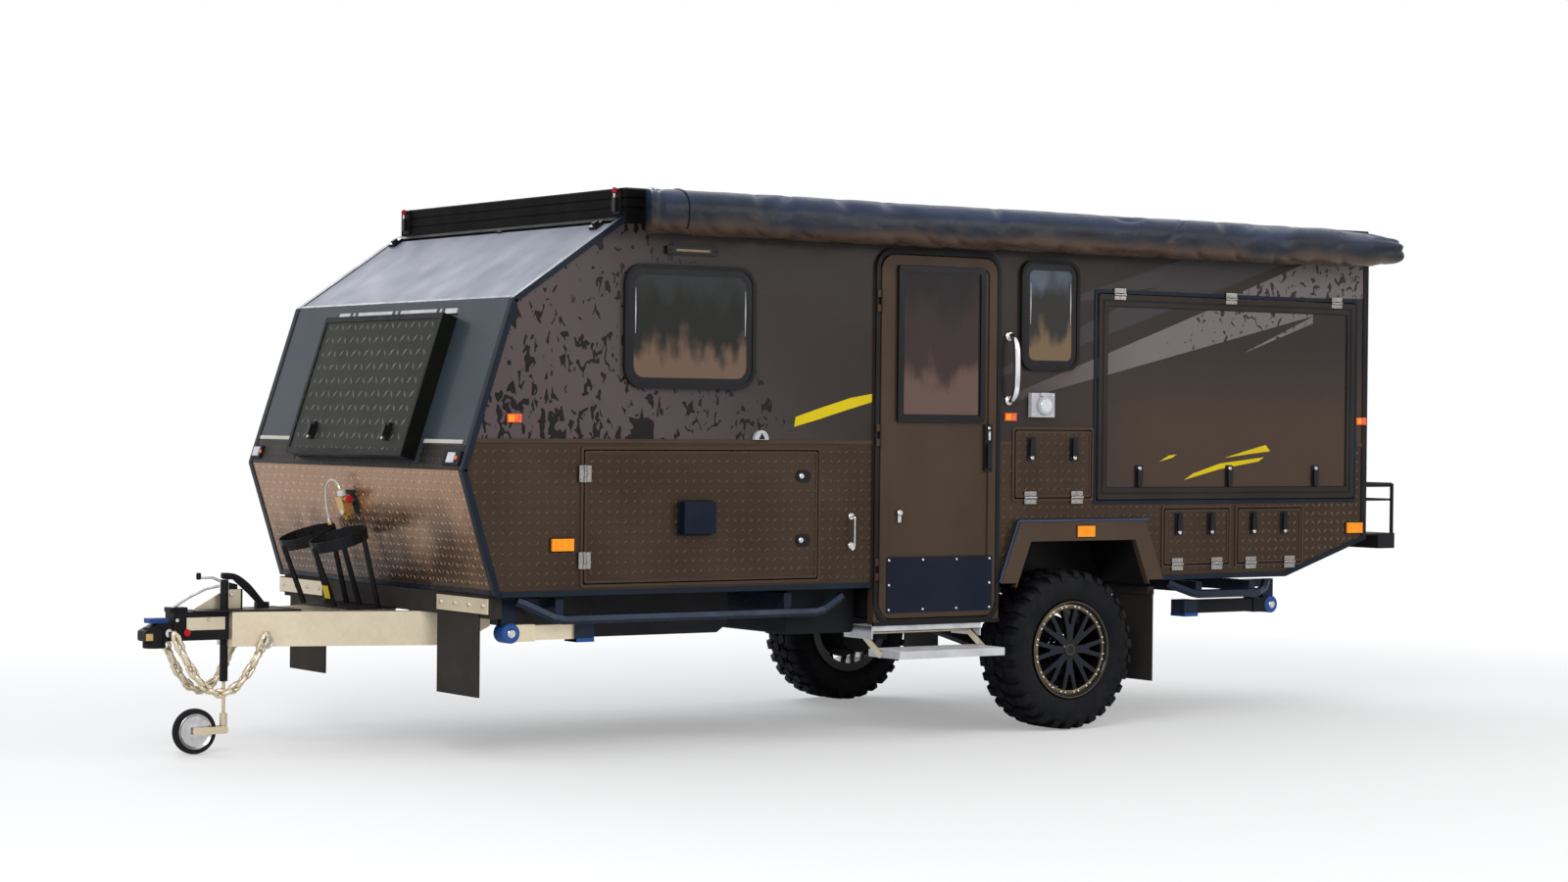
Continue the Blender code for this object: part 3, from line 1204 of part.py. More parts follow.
RACK_X = 5.590
BUMPER_X = (5.470, RACK_X)
BUMPER_Z = (0.845, 0.925)
CAGE_Y = (HALF - 0.410, HALF - 0.050)
CAGE_X = (5.350, RACK_X)
CAGE_TOP = 1.190
CAGE_BAR = 0.012
CAGE_POST = 0.007        # half a corner post
SPARE_Z = BUMPER_Z[1] + TYRE_R + 0.047
POST_X = (REAR_X + SEAT, REAR_X + 0.040)


def rear_bumper():
    """The bumper beam on two arms from the body, a can cage at each end and the spare wheel's post."""
    node = box(BUMPER_X, (-CAGE_Y[1], CAGE_Y[1]), BUMPER_Z)
    for side in (NEAR, FAR):
        arm_y = mirrored((RAIL_Y - 0.03, RAIL_Y + 0.03), side)
        arm = box((REAR_X + SEAT, BUMPER_X[0] + 0.01), arm_y, (0.905, 0.965))
        plate_y = mirrored((RAIL_Y - 0.07, RAIL_Y + 0.07), side)
        node = union(node, arm, box((REAR_X + SEAT, REAR_X + 0.008), plate_y, (0.905, 1.100)))
        y = mirrored((CAGE_Y[0] + CAGE_BAR, CAGE_Y[1] - CAGE_BAR), side)
        x = (CAGE_X[0] + CAGE_BAR, CAGE_X[1] - CAGE_BAR)
        node = union(node, box((CAGE_X[0], BUMPER_X[0] + 0.01), mirrored(CAGE_Y, side), (0.915, 0.924)))
        for z in (1.100, CAGE_TOP - CAGE_BAR):
            thick = CAGE_BAR if z > 1.15 else 0.006
            corners = [(x[0], y[0], z), (x[1], y[0], z), (x[1], y[1], z), (x[0], y[1], z)]
            node = union(node, bar(corners, thick, 4, closed=True))
        for at_x in x:
            for at_y in y:
                post = rectangle((at_x - CAGE_POST, at_x + CAGE_POST), (at_y - CAGE_POST, at_y + CAGE_POST))
                node = union(node, prism(post, "Z", 0.918, CAGE_TOP - CAGE_BAR))
    post = box(POST_X, (-0.05, 0.05), (0.905, SPARE_Z + 0.08))
    foot = box((POST_X[0], BUMPER_X[0] + 0.01), (-0.05, 0.05), (0.880, 0.920))
    hub_back = TAIL_X - TYRE_WIDE / 2 + RIM_FACE - HUB_BACK
    stub = cylinder((0, 0, SPARE_Z), 0.060, POST_X[1] - 0.01, hub_back - SEAT, "X", 16)
    piece("rear_bumper", union(node, post, foot, stub), "black_paint")


def spare_wheel():
    """Tyre and rim in one, hung on the bumper's post with its face to the rear."""
    centre = (0, 0, 0)
    profile = tyre_profile()
    bead = 0.70 * TYRE_WIDE / 2
    profile[:2] = [(-bead, RIM_SEAT_R - 0.005), (bead, RIM_SEAT_R - 0.005)]
    whole = union(rim(centre, FAR), turned(profile, TYRE_LUGS * 3, centre, radius_at=lugged))
    whole = tilted(whole, (0, 0, 0), math.radians(-90), "Z")
    x = TAIL_X - TYRE_WIDE / 2
    whole.transform(Matrix.Translation((x, 0, SPARE_Z)))
    piece("spare_wheel", whole, "tyre", (x, 0, SPARE_Z))


def grab_handle():
    """A bowed chrome handle beside the doorway."""
    x, out = 2.945, 0.055
    low, high = 1.585, 1.900
    foot = [(SEAT, low), (out * 0.6, low), (out, low + 0.040)]
    head = [(out, high - 0.040), (out * 0.6, high), (SEAT, high)]
    route = [(x, -HALF - stand, z) for stand, z in foot + head]
    piece("grab_handle", bar(route, 0.011, 8), "chrome", smooth=True)


for old in list(bpy.data.objects):
    bpy.data.objects.remove(old)
trailer = bpy.data.objects.new("trailer", None)
trailer.location = -MIDDLE
bpy.context.scene.collection.objects.link(trailer)

for build in (side_walls, front_panels, rear_and_floor, roof_frame, wheel_arches, windows, hatches,
              entry_door, stone_guard, pop_top, awning_bag, canvas_skirt, rails, front_flaps, rear_flaps,
              coupling, chains, jockey, gas_holders, regulator, wheels, suspension, under_bars, tanks,
              entry_step, rear_bumper, spare_wheel, grab_handle):
    build()
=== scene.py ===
"""Looks of the hybrid camper trailer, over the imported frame: paint, trim, glass, wheels and cloth.

Lengths are in metres, in the trailer's own frame: x runs rearward from the knee of the front wall, y runs
from the centreline to the side away from the entry door, and z is up from the ground.
"""
import math

import bmesh
import bpy
from mathutils import Matrix, Vector, noise


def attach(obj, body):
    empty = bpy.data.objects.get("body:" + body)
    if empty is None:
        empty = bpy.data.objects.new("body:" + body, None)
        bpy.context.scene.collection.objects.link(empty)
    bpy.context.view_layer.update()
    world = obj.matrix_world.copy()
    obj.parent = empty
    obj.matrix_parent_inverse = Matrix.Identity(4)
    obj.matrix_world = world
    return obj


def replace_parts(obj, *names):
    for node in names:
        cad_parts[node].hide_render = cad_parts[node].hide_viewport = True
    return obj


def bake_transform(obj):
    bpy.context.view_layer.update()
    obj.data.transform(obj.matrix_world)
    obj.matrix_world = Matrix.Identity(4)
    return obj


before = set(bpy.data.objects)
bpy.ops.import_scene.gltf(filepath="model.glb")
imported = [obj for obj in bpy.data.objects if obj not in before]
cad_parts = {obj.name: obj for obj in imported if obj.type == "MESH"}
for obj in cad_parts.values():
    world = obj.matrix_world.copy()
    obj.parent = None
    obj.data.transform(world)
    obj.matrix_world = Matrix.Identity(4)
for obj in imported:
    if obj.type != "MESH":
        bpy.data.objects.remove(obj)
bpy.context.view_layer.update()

MIDDLE = Vector((2.325, -0.110, 0))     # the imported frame's origin in the trailer's own frame
NEAR, FAR = -1, 1
HALF = 1.050
BODY_BOTTOM, BELT_Z, KNEE_Z = 0.720, 1.388, 1.258
BROW = (0.241, 1.994)
NOSE_FOOT_X = 0.170
ROOF_FRONT = (0.790, 2.367)
REAR_X = 5.321
WHEEL_X, WHEEL_Z, WHEEL_Y = 3.363, 0.388, 0.9175
SPARE = (5.5075, 0.0, 1.360)             # the spare wheel's middle
JOCKEY_AXLE = (-0.740, 0, 0.100)
SEAT = 0.0005                            # how far a trim stands off the panel it lies on
X, Y, Z = Vector((1, 0, 0)), Vector((0, 1, 0)), Vector((0, 0, 1))


# Camera, floor and light

CAMERA_AT = (-6.3637, -12.6488, 1.4837)
YAW, PITCH, ROLL = 34.641, -0.379, 0.578         # in degrees
FOCAL, PICTURE_WIDE = 3180.8, 1600               # in pixels
SENSOR_WIDE = 36                                 # in millimetres
FLOOR_R, FLOOR_Z = 60, -0.002
WHITE_FROM, WHITE_TO = 4.6, 9                    # the floor turns plain white for the camera between these
FLOOR_GLOW = 0.30                                # the share of plain white that it has nearer than that
FLOOR_WHITE = (0.90, 0.90, 0.90)
LAMPS = (
    # name, place, target, size, power, colour
    ("key", (-6.0, -9.0, 7.5), (1.5, 0, 1.2), 5.0, 560, (1.0, 0.98, 0.95)),
    ("side", (8.0, -9.0, 5.0), (3.5, 0, 1.0), 4.0, 240, (1.0, 0.96, 0.91)),
    ("back", (3.0, 9.0, 7.0), (2.5, 0, 1.2), 6.0, 350, (0.95, 0.97, 1.0)),
)


def stage():
    yaw, pitch, roll = (math.radians(a) for a in (YAW, PITCH, ROLL))
    ahead = Vector((math.sin(yaw) * math.cos(pitch), math.cos(yaw) * math.cos(pitch), math.sin(pitch)))
    level = Vector((math.cos(yaw), -math.sin(yaw), 0))
    above = level.cross(ahead)
    right = level * math.cos(roll) + above * math.sin(roll)
    up = above * math.cos(roll) - level * math.sin(roll)
    data = bpy.data.cameras.new("camera")
    data.sensor_width = SENSOR_WIDE
    data.lens = FOCAL / PICTURE_WIDE * SENSOR_WIDE
    camera = bpy.data.objects.new("camera", data)
    turn = Matrix((right, up, -ahead)).transposed().to_4x4()
    camera.matrix_world = Matrix.Translation(Vector(CAMERA_AT) - MIDDLE) @ turn
    bpy.context.scene.collection.objects.link(camera)
    bpy.context.scene.camera = camera

    finish = Finish("floor_white", FLOOR_WHITE, 0.9)
    x, y = finish.node("SeparateXYZ", (finish.spot(),)).outputs[:2]
    away = finish.math("SQRT",
                       finish.math("ADD", finish.math("MULTIPLY", x, x), finish.math("MULTIPLY", y, y)))
    far = finish.spread(away, WHITE_FROM, WHITE_TO, smooth=True)
    seen = finish.math("MULTIPLY", finish.spread(far, 0, 1, FLOOR_GLOW, 1.0),
                       finish.node("LightPath").outputs["Is Camera Ray"])
    finish.set("Base Color", finish.mix(seen, FLOOR_WHITE, (0, 0, 0)))
    finish.set("Emission Color", finish.mix(seen, (0, 0, 0), (1, 1, 1)))
    finish.set("Emission Strength", 1.0)
    shape = bmesh.new()
    bmesh.ops.create_circle(shape, cap_ends=True, radius=FLOOR_R, segments=96)
    mesh = bpy.data.meshes.new("floor")
    shape.to_mesh(mesh)
    shape.free()
    mesh.materials.append(finish.material)
    floor = bpy.data.objects.new("floor", mesh)
    floor.location.z = FLOOR_Z
    bpy.context.scene.collection.objects.link(floor)

    world = bpy.data.worlds.new("studio")
    bpy.context.scene.world = world
    world.use_nodes = True
    air = Nodes(world.node_tree)
    light_path = air.node("LightPath").outputs
    shown = air.math("ADD", light_path["Is Camera Ray"], light_path["Is Glossy Ray"])
    shown = air.math("MINIMUM", air.math("ADD", shown, light_path["Is Transmission Ray"]), 1.0)
    background = world.node_tree.nodes["Background"]
    air.join(air.mix(shown, (0.93, 0.96, 1.0), (1, 1, 1)), background.inputs["Color"])
    air.join(air.spread(shown, 0.0, 1.0, 0.72, 1.0), background.inputs["Strength"])
    for name, place, target, size, power, colour in LAMPS:
        light = bpy.data.lights.new(name, "AREA")
        light.size = size
        light.energy = power
        light.color = colour
        lamp = bpy.data.objects.new(name, light)
        where = Vector(place) - MIDDLE
        lamp.location = where
        lamp.rotation_euler = (Vector(target) - MIDDLE - where).to_track_quat("-Z", "Y").to_euler()
        bpy.context.scene.collection.objects.link(lamp)
    bpy.context.scene.view_settings.view_transform = "Standard"


# Finishes

class Nodes:
    """Short calls for the nodes of one tree."""

    def __init__(self, tree):
        self.tree = tree

    def join(self, value, target):
        if isinstance(value, bpy.types.NodeSocket):
            self.tree.links.new(value, target)
        elif target.type == "RGBA" and len(value) == 3:
            target.default_value = (*value, 1)
        else:
            target.default_value = value

    def node(self, kind, inputs=(), **settings):
        made = self.tree.nodes.new("ShaderNode" + kind)
        for key, value in settings.items():
            setattr(made, key, value)
        for index, value in enumerate(inputs):
            if value is not None:
                self.join(value, made.inputs[index])
        return made

    def math(self, operation, a, b=0.0, c=0.0):
        return self.node("Math", (a, b, c), operation=operation).outputs[0]

    def spot(self):
        return self.node("TexCoord").outputs["Object"]

    def place(self):
        """The point in the trailer's own frame, as three outputs."""
        moved = self.node("VectorMath", (self.spot(), MIDDLE), operation="ADD").outputs[0]
        return self.node("SeparateXYZ", (moved,)).outputs

    def noise(self, scale, detail=2.0, stretch=(1, 1, 1), warp=0.0):
        made = self.node("TexNoise")
        sized = self.node("VectorMath", (self.spot(), stretch), operation="MULTIPLY").outputs[0]
        for key, value in (("Vector", sized), ("Scale", scale), ("Detail", detail), ("Distortion", warp)):
            self.join(value, made.inputs[key])
        return made.outputs["Fac"]

    def spread(self, value, low, high, out_low=0.0, out_high=1.0, smooth=False):
        """The value's range from low to high, carried to out_low to out_high."""
        kind = "SMOOTHSTEP" if smooth else "LINEAR"
        return self.node("MapRange", (value, low, high, out_low, out_high),
                         interpolation_type=kind).outputs[0]

    def mix(self, share, a, b):
        made = self.node("Mix", data_type="RGBA")
        for name, value in (("Factor", share), ("A", a), ("B", b)):
            self.join(value, next(s for s in made.inputs if s.name == name and s.enabled))
        return next(s for s in made.outputs if s.enabled)


class Effect(Nodes):
    """A shader node group with named inputs and outputs, built once for all the finishes that show it."""

    def __init__(self, name, inputs):
        super().__init__(bpy.data.node_groups.new(name, "ShaderNodeTree"))
        for label, kind, value in inputs:
            made = self.tree.interface.new_socket(label, in_out="INPUT", socket_type="NodeSocket" + kind)
            made.default_value = value
        self.given = self.tree.nodes.new("NodeGroupInput").outputs
        self.results = self.tree.nodes.new("NodeGroupOutput").inputs

    def give(self, label, kind, value):
        self.tree.interface.new_socket(label, in_out="OUTPUT", socket_type="NodeSocket" + kind)
        self.tree.links.new(value, self.results[label])


def two_tone():
    """Two colours in soft patches, and a roughness that wanders on a finer scale."""
    made = Effect("Two tone",
                  (("Colour", "Color", (0.1, 0.1, 0.1, 1)), ("Second", "Color", (0.2, 0.2, 0.2, 1)),
                               ("Scale", "Float", 3.0), ("Smoothest", "Float", 0.3),
                               ("Roughest", "Float", 0.5)))
    given = made.given
    patches = made.spread(made.noise(given["Scale"], 3.0), 0.35, 0.65)
    made.give("Colour", "Color", made.mix(patches, given["Colour"], given["Second"]))
    finer = made.noise(made.math("MULTIPLY", given["Scale"], 3.1))
    made.give("Roughness", "Float", made.spread(finer, 0.3, 0.7, given["Smoothest"], given["Roughest"]))
    return made.tree


def fine_grain():
    """The orange peel of paint and powder coat, or the grain of rubber and cast metal, as a height."""
    made = Effect("Fine grain", (("Scale", "Float", 300.0),))
    made.give("Height", "Float", made.noise(made.given["Scale"], 2.0))
    return made.tree


def raised_lozenges():
    """Tread plate: lozenges in a chequer that lean left and right by turns, as a mask."""
    made = Effect("Raised lozenges",
                  (("Across", "Float", 0.0), ("Up", "Float", 0.0), ("Pitch", "Float", 0.034)))
    given = made.given
    u, v = (made.math("DIVIDE", given[label], given["Pitch"]) for label in ("Across", "Up"))
    cell = made.math("ADD", made.math("FLOOR", u), made.math("FLOOR", v))
    lean = made.math("MULTIPLY_ADD", made.math("FLOORED_MODULO", cell, 2.0), 2.0, -1.0)
    across = made.math("MULTIPLY", made.math("SUBTRACT", made.math("FRACT", u), 0.5), lean)
    along = made.math("SUBTRACT", made.math("FRACT", v), 0.5)
    long_way = made.math("ABSOLUTE", made.math("ADD", along, across))
    short_way = made.math("ABSOLUTE", made.math("SUBTRACT", along, across))
    reach = made.math("ADD", made.math("DIVIDE", long_way, 0.66), made.math("DIVIDE", short_way, 0.22))
    made.give("Raised", "Float", made.spread(reach, 1.0, 0.55, smooth=True))
    return made.tree


def zinc_crystals():
    """The spangle of hot-dip zinc: a faint tone for each flat crystal, over a slow cloud."""
    made = Effect("Zinc crystals", (("Scale", "Float", 55.0),))
    cells = made.node("TexVoronoi", feature="F1")
    made.join(made.spot(), cells.inputs["Vector"])
    made.join(made.given["Scale"], cells.inputs["Scale"])
    tone = made.node("SeparateColor", (cells.outputs["Color"],)).outputs[0]
    clouded = made.math("MULTIPLY_ADD", tone, 0.2, made.noise(5, 3.0))
    made.give("Share", "Float", made.math("MULTIPLY", clouded, 0.8))
    return made.tree


def plain_weave():
    """Threads over and under each other, as a height."""
    made = Effect("Plain weave", (("Thread", "Float", 0.0012),))
    x, y, z = made.place()
    turn = made.math("DIVIDE", math.pi, made.given["Thread"])
    waves = [made.math("SINE", made.math("MULTIPLY", value, turn)) for value in (x, made.math("ADD", y, z))]
    made.give("Height", "Float", made.math("MULTIPLY", *waves))
    return made.tree


TWO_TONE = two_tone()
GRAIN = fine_grain()
LOZENGES = raised_lozenges()
ZINC = zinc_crystals()
WEAVE = plain_weave()


class Finish(Nodes):
    """A material: one Principled shader, fed by the effects and by nodes of its own."""

    def __init__(self, name, colour, rough, metal=0.0, coat=0.0, shine=0.12):
        self.material = bpy.data.materials.new(name)
        self.material.use_nodes = True
        super().__init__(self.material.node_tree)
        self.shader = self.tree.nodes["Principled BSDF"]
        self.normal = None
        for label, value in (("Base Color", colour), ("Roughness", rough), ("Metallic", metal),
                             ("Coat Weight", coat),
                             ("Specular IOR Level", shine)):
            self.set(label, value)

    def set(self, label, value):
        self.join(value, self.shader.inputs[label])

    def effect(self, tree, **values):
        made = self.node("Group", node_tree=tree)
        for label, value in values.items():
            self.join(value, made.inputs[label])
        return made.outputs

    def tones(self, colour, second, scale, rough):
        made = self.effect(TWO_TONE, Colour=colour, Second=second, Scale=scale, Smoothest=rough[0],
                           Roughest=rough[1])
        self.set("Roughness", made["Roughness"])
        return made["Colour"]

    def bump(self, height, distance):
        made = self.node("Bump")
        self.join(distance, made.inputs["Distance"])
        self.join(height, made.inputs["Height"])
        if self.normal:
            self.join(self.normal, made.inputs["Normal"])
        self.normal = made.outputs["Normal"]
        self.set("Normal", self.normal)

    def grain(self, scale, distance):
        self.bump(self.effect(GRAIN, Scale=scale)["Height"], distance)
        return self


def coated(name, colour, second, rough=(0.35, 0.5), metal=0.0, coat=0.0, scale=3.0, grain=(350, 0.0002),
           shine=0.12):
    made = Finish(name, colour, rough[0], metal, coat, shine)
    made.set("Base Color", made.tones(colour, second, scale, rough))
    return made.grain(*grain)


# Painted shade: near black for the faces inside the wheel wells, where shade falls.
WHEEL_WELL_SHADE = (0.006, 0.006, 0.006)


def inside_walls(made, y):
    """One behind the side walls' outer faces, as in the wheel wells, where painted shade goes."""
    return made.math("LESS_THAN", made.math("ABSOLUTE", y), HALF - 0.006)


def tread_plate(name, colour, second, wear_and_highlight, rough, metal=0.5, pitch=0.034, across="x", raise_by=0.0026):
    """Coated tread plate, with its pattern on the plate's own faces. A side wall has painted shade, near
    black, behind its face.

    across is the level direction along the plate.
    """
    made = Finish(name, colour, rough[0], metal)
    x, y, z = made.place()
    raised = made.effect(LOZENGES, Across={"x": x, "y": y}[across], Up=z, Pitch=pitch)["Raised"]
    normal = made.node("SeparateXYZ", (made.node("TexCoord").outputs["Normal"],)).outputs
    facing = normal[{"x": "Y", "y": "X"}[across]]
    raised = made.math("MULTIPLY", raised, made.math("GREATER_THAN", made.math("ABSOLUTE", facing), 0.5))
    base = made.tones(colour, second, 2.2, rough)
    # The raised lozenges take a lighter colour, more so toward the rear: partly wear on their tops and partly
    # a painted highlight.
    strength = made.spread(x, 4.2, 5.0, 0.42, 1.0) if across == "x" else 0.95
    base = made.mix(made.math("MULTIPLY", raised, strength), base, wear_and_highlight)
    if across == "x":
        base = made.mix(inside_walls(made, y), base, WHEEL_WELL_SHADE)
    made.set("Base Color", base)
    made.bump(raised, raise_by)
    return made.grain(500, 0.00012)


def flare(name, colour, second, rough=(0.34, 0.46)):
    """Brown paint on a wheel arch's flare, and painted shade, near black, inside its well."""
    made = Finish(name, colour, rough[0], 0.15)
    y = made.place()[1]
    paint = made.tones(colour, second, 3.0, rough)
    made.set("Base Color", made.mix(inside_walls(made, y), paint, WHEEL_WELL_SHADE))
    return made.grain(350, 0.0002)


def bronze_plate(name):
    """Glossy bronze tread plate, with a painted highlight near the knee and a painted dark reflection toward
    its foot.
    """
    bright, dark_reflection, wear_and_highlight, rough = (0.36, 0.215, 0.135), (0.110, 0.068, 0.046), (0.66, 0.46, 0.32), (0.20, 0.32)
    made = Finish(name, bright, rough[0], 0.80)
    y, z = made.place()[1:]
    # Painted highlight and reflection: bright bronze high up, darker bronze lower down, with a wavering edge
    # between.
    height = made.math("ADD", z, made.spread(made.noise(3.2, 2.0, (1, 1.3, 0.7), 0.4), 0.3, 0.7, -0.12, 0.12))
    base = made.mix(made.spread(height, 0.80, 1.12, smooth=True),
                    made.tones(dark_reflection, (0.075, 0.048, 0.034), 3.0, rough),
                    bright)
    raised = made.effect(LOZENGES, Across=y, Up=z, Pitch=0.036)["Raised"]
    # The raised lozenges take a lighter bronze: partly wear on their tops and partly a painted highlight.
    made.set("Base Color", made.mix(made.math("MULTIPLY", raised, 0.60), base, wear_and_highlight))
    made.bump(raised, 0.0050)
    return made.grain(500, 0.00012)


def wedge(made, x, z, start, low, high):
    """One within a stripe that starts at start: its edges are (z there, slope)."""
    run = made.math("SUBTRACT", x, start)
    under = made.math("MULTIPLY_ADD", run, low[1], low[0])
    over = made.math("MULTIPLY_ADD", run, high[1], high[0])
    inside = made.math("MULTIPLY", made.math("GREATER_THAN", z, under), made.math("LESS_THAN", z, over))
    return made.math("MULTIPLY", inside, made.math("GREATER_THAN", run, 0.0))


def printed_side(name, rough=(0.24, 0.34)):
    """Printed film: a warm grey front with dark flecks, fading to charcoal, and slanted pale bands; the lower
    rear is browned as a painted reflection of the ground.
    """
    dark, charcoal, warm = (0.0070, 0.0055, 0.0055), (0.027, 0.021, 0.019), (0.080, 0.060, 0.061)
    brown, pale, slate = (0.054, 0.034, 0.024), (0.150, 0.124, 0.126), (0.046, 0.042, 0.044)
    made = Finish(name, charcoal, rough[0], 0.05, 0.0, 0.16)
    x, _, z = made.place()
    high = made.math("SUBTRACT", z, BELT_Z)
    toward_rear = made.math("MULTIPLY_ADD", high, 0.9, x)
    base = made.mix(made.spread(toward_rear, 0.75, 2.3, smooth=True), warm, charcoal)
    # Painted reflection: the lower rear turns brown, for the ground it reflects.
    ground_reflection_share = made.math("MULTIPLY", made.spread(x, 3.0, 3.9, smooth=True),
                         made.spread(z, 1.95, 1.45, smooth=True))
    base = made.mix(ground_reflection_share, base, brown)
    flecks = made.noise(30, 1.2, (1, 0.2, 0.60), 0.8)
    clusters = made.spread(made.noise(4.0, 1.0, (1, 0.2, 1)), 0.3, 0.7, 0.030, -0.045)
    sparse = made.spread(made.math("MULTIPLY_ADD", x, 0.34, high), 0.05, 0.80, 0.545, 0.645)
    blots = made.math("GREATER_THAN", made.noise(4.6, 3.0, (1, 0.2, 0.8), 0.8), 0.665)
    spots = made.math("MAXIMUM", made.math("GREATER_THAN", flecks, made.math("ADD", sparse, clusters)), blots)
    front = made.math("LESS_THAN", made.math("MULTIPLY_ADD", high, 0.70, x), 1.72)
    colour = made.mix(made.math("MULTIPLY", spots, front), base, dark)
    ragged = made.math("LESS_THAN", made.noise(30, 1.4, (1, 0.2, 0.8), 0.8),
                       made.spread(x, 3.7, 4.3, 0.80, 0.585))
    tip = made.math("LESS_THAN", x, 4.93)
    broad = made.math("MULTIPLY", wedge(made, x, z, 3.00, (1.590, 0.235), (1.630, 0.350)), tip)
    sliver = made.math("MULTIPLY", wedge(made, x, z, 4.47, (1.850, 0.340), (1.853, 0.410)), tip)
    corner = made.math("MULTIPLY", wedge(made, x, z, 4.36, (2.125, 0.020), (2.125, 0.360)), ragged)
    dim_low = wedge(made, x, z, 2.90, (1.700, 0.330), (1.740, 0.430))
    dim_high = wedge(made, x, z, 3.15, (2.030, 0.180), (2.040, 0.290))
    colour = made.mix(made.math("MULTIPLY", made.math("MAXIMUM", dim_low, dim_high), 0.8), colour, slate)
    bands = made.math("MULTIPLY", made.math("MAXIMUM", broad, sliver), ragged)
    strength = made.spread(x, 3.0, 3.8, 0.22, 1.0)
    colour = made.mix(made.math("MULTIPLY", bands, strength), colour, pale)
    made.set("Base Color", made.mix(corner, colour, pale))
    made.set("Roughness", made.spread(made.noise(4), 0.3, 0.7, *rough))
    return made.grain(420, 0.00008)


def plated(name, colour, second, rough, scale=55):
    """Hot-dip zinc."""
    made = Finish(name, colour, rough[0], 0.65)
    crystals = made.effect(ZINC, Scale=scale)
    made.set("Base Color", made.mix(crystals["Share"], colour, second))
    made.set("Roughness", made.spread(made.noise(3, 2.0), 0.3, 0.7, *rough))
    return made


def pane_with_painted_reflection(name, foot, head, colours, reflection_wobble):
    """A tinted acrylic pane with a painted reflection: the colour at its foot, at half height and at its
    head, with a noisy wobble between them.
    """
    made = Finish(name, colours[1], 0.04, 0.0, 0.0, 0.28)
    z = made.place()[2]
    # Painted reflection: bands of colour by height, standing for the ground below and sky and trees above.
    cloud = made.spread(made.noise(9, 3.0, (1, 0.3, 0.45)), 0.3, 0.7, -reflection_wobble, reflection_wobble)
    height = made.math("ADD", made.spread(z, foot, head), cloud)
    base = made.mix(made.spread(height, 0.22, 0.42, smooth=True), colours[0], colours[1])
    base = made.mix(made.spread(height, 0.62, 0.96, smooth=True), base, colours[2])
    made.set("Base Color", base)
    made.set("Roughness", made.spread(made.noise(30), 0.3, 0.7, 0.03, 0.07))
    return made.grain(6, 0.0012)


def coated_cloth(name):
    """Coated cloth: near black at the side, with a painted sky reflection in blue-grey over the top and a
    painted reflection of the brown ground below.
    """
    made = Finish(name, (0.02, 0.02, 0.03), 0.3, 0.0, 0.0, 0.20)
    z = made.place()[2]
    wander = made.spread(made.noise(1.7, 3.0, (1, 1, 1), 0.4), 0.3, 0.7, -0.040, 0.040)
    height = made.math("ADD", z, wander)
    side = made.tones((0.007, 0.010, 0.017), (0.012, 0.017, 0.028), 5.0, (0.24, 0.38))
    # Painted reflection: brown below, for the ground.
    base = made.mix(made.spread(height, 2.375, 2.310, smooth=True), side, (0.072, 0.045, 0.030))
    # Painted sky reflection: blue-grey over the top.
    base = made.mix(made.spread(height, 2.390, 2.470, smooth=True), base, (0.016, 0.032, 0.078))
    made.set("Base Color", base)
    made.bump(made.effect(WEAVE, Thread=0.0016)["Height"], 0.00008)
    made.bump(made.noise(26, 3.0, (1, 1, 1), 0.5), 0.0016)
    return made.grain(260, 0.0002)


def canvas(name, colour, second):
    made = Finish(name, colour, 0.9)
    made.set("Base Color", made.tones(colour, second, 8.0, (0.85, 0.95)))
    made.bump(made.effect(WEAVE, Thread=0.0012)["Height"], 0.0002)
    return made.grain(700, 0.0003)


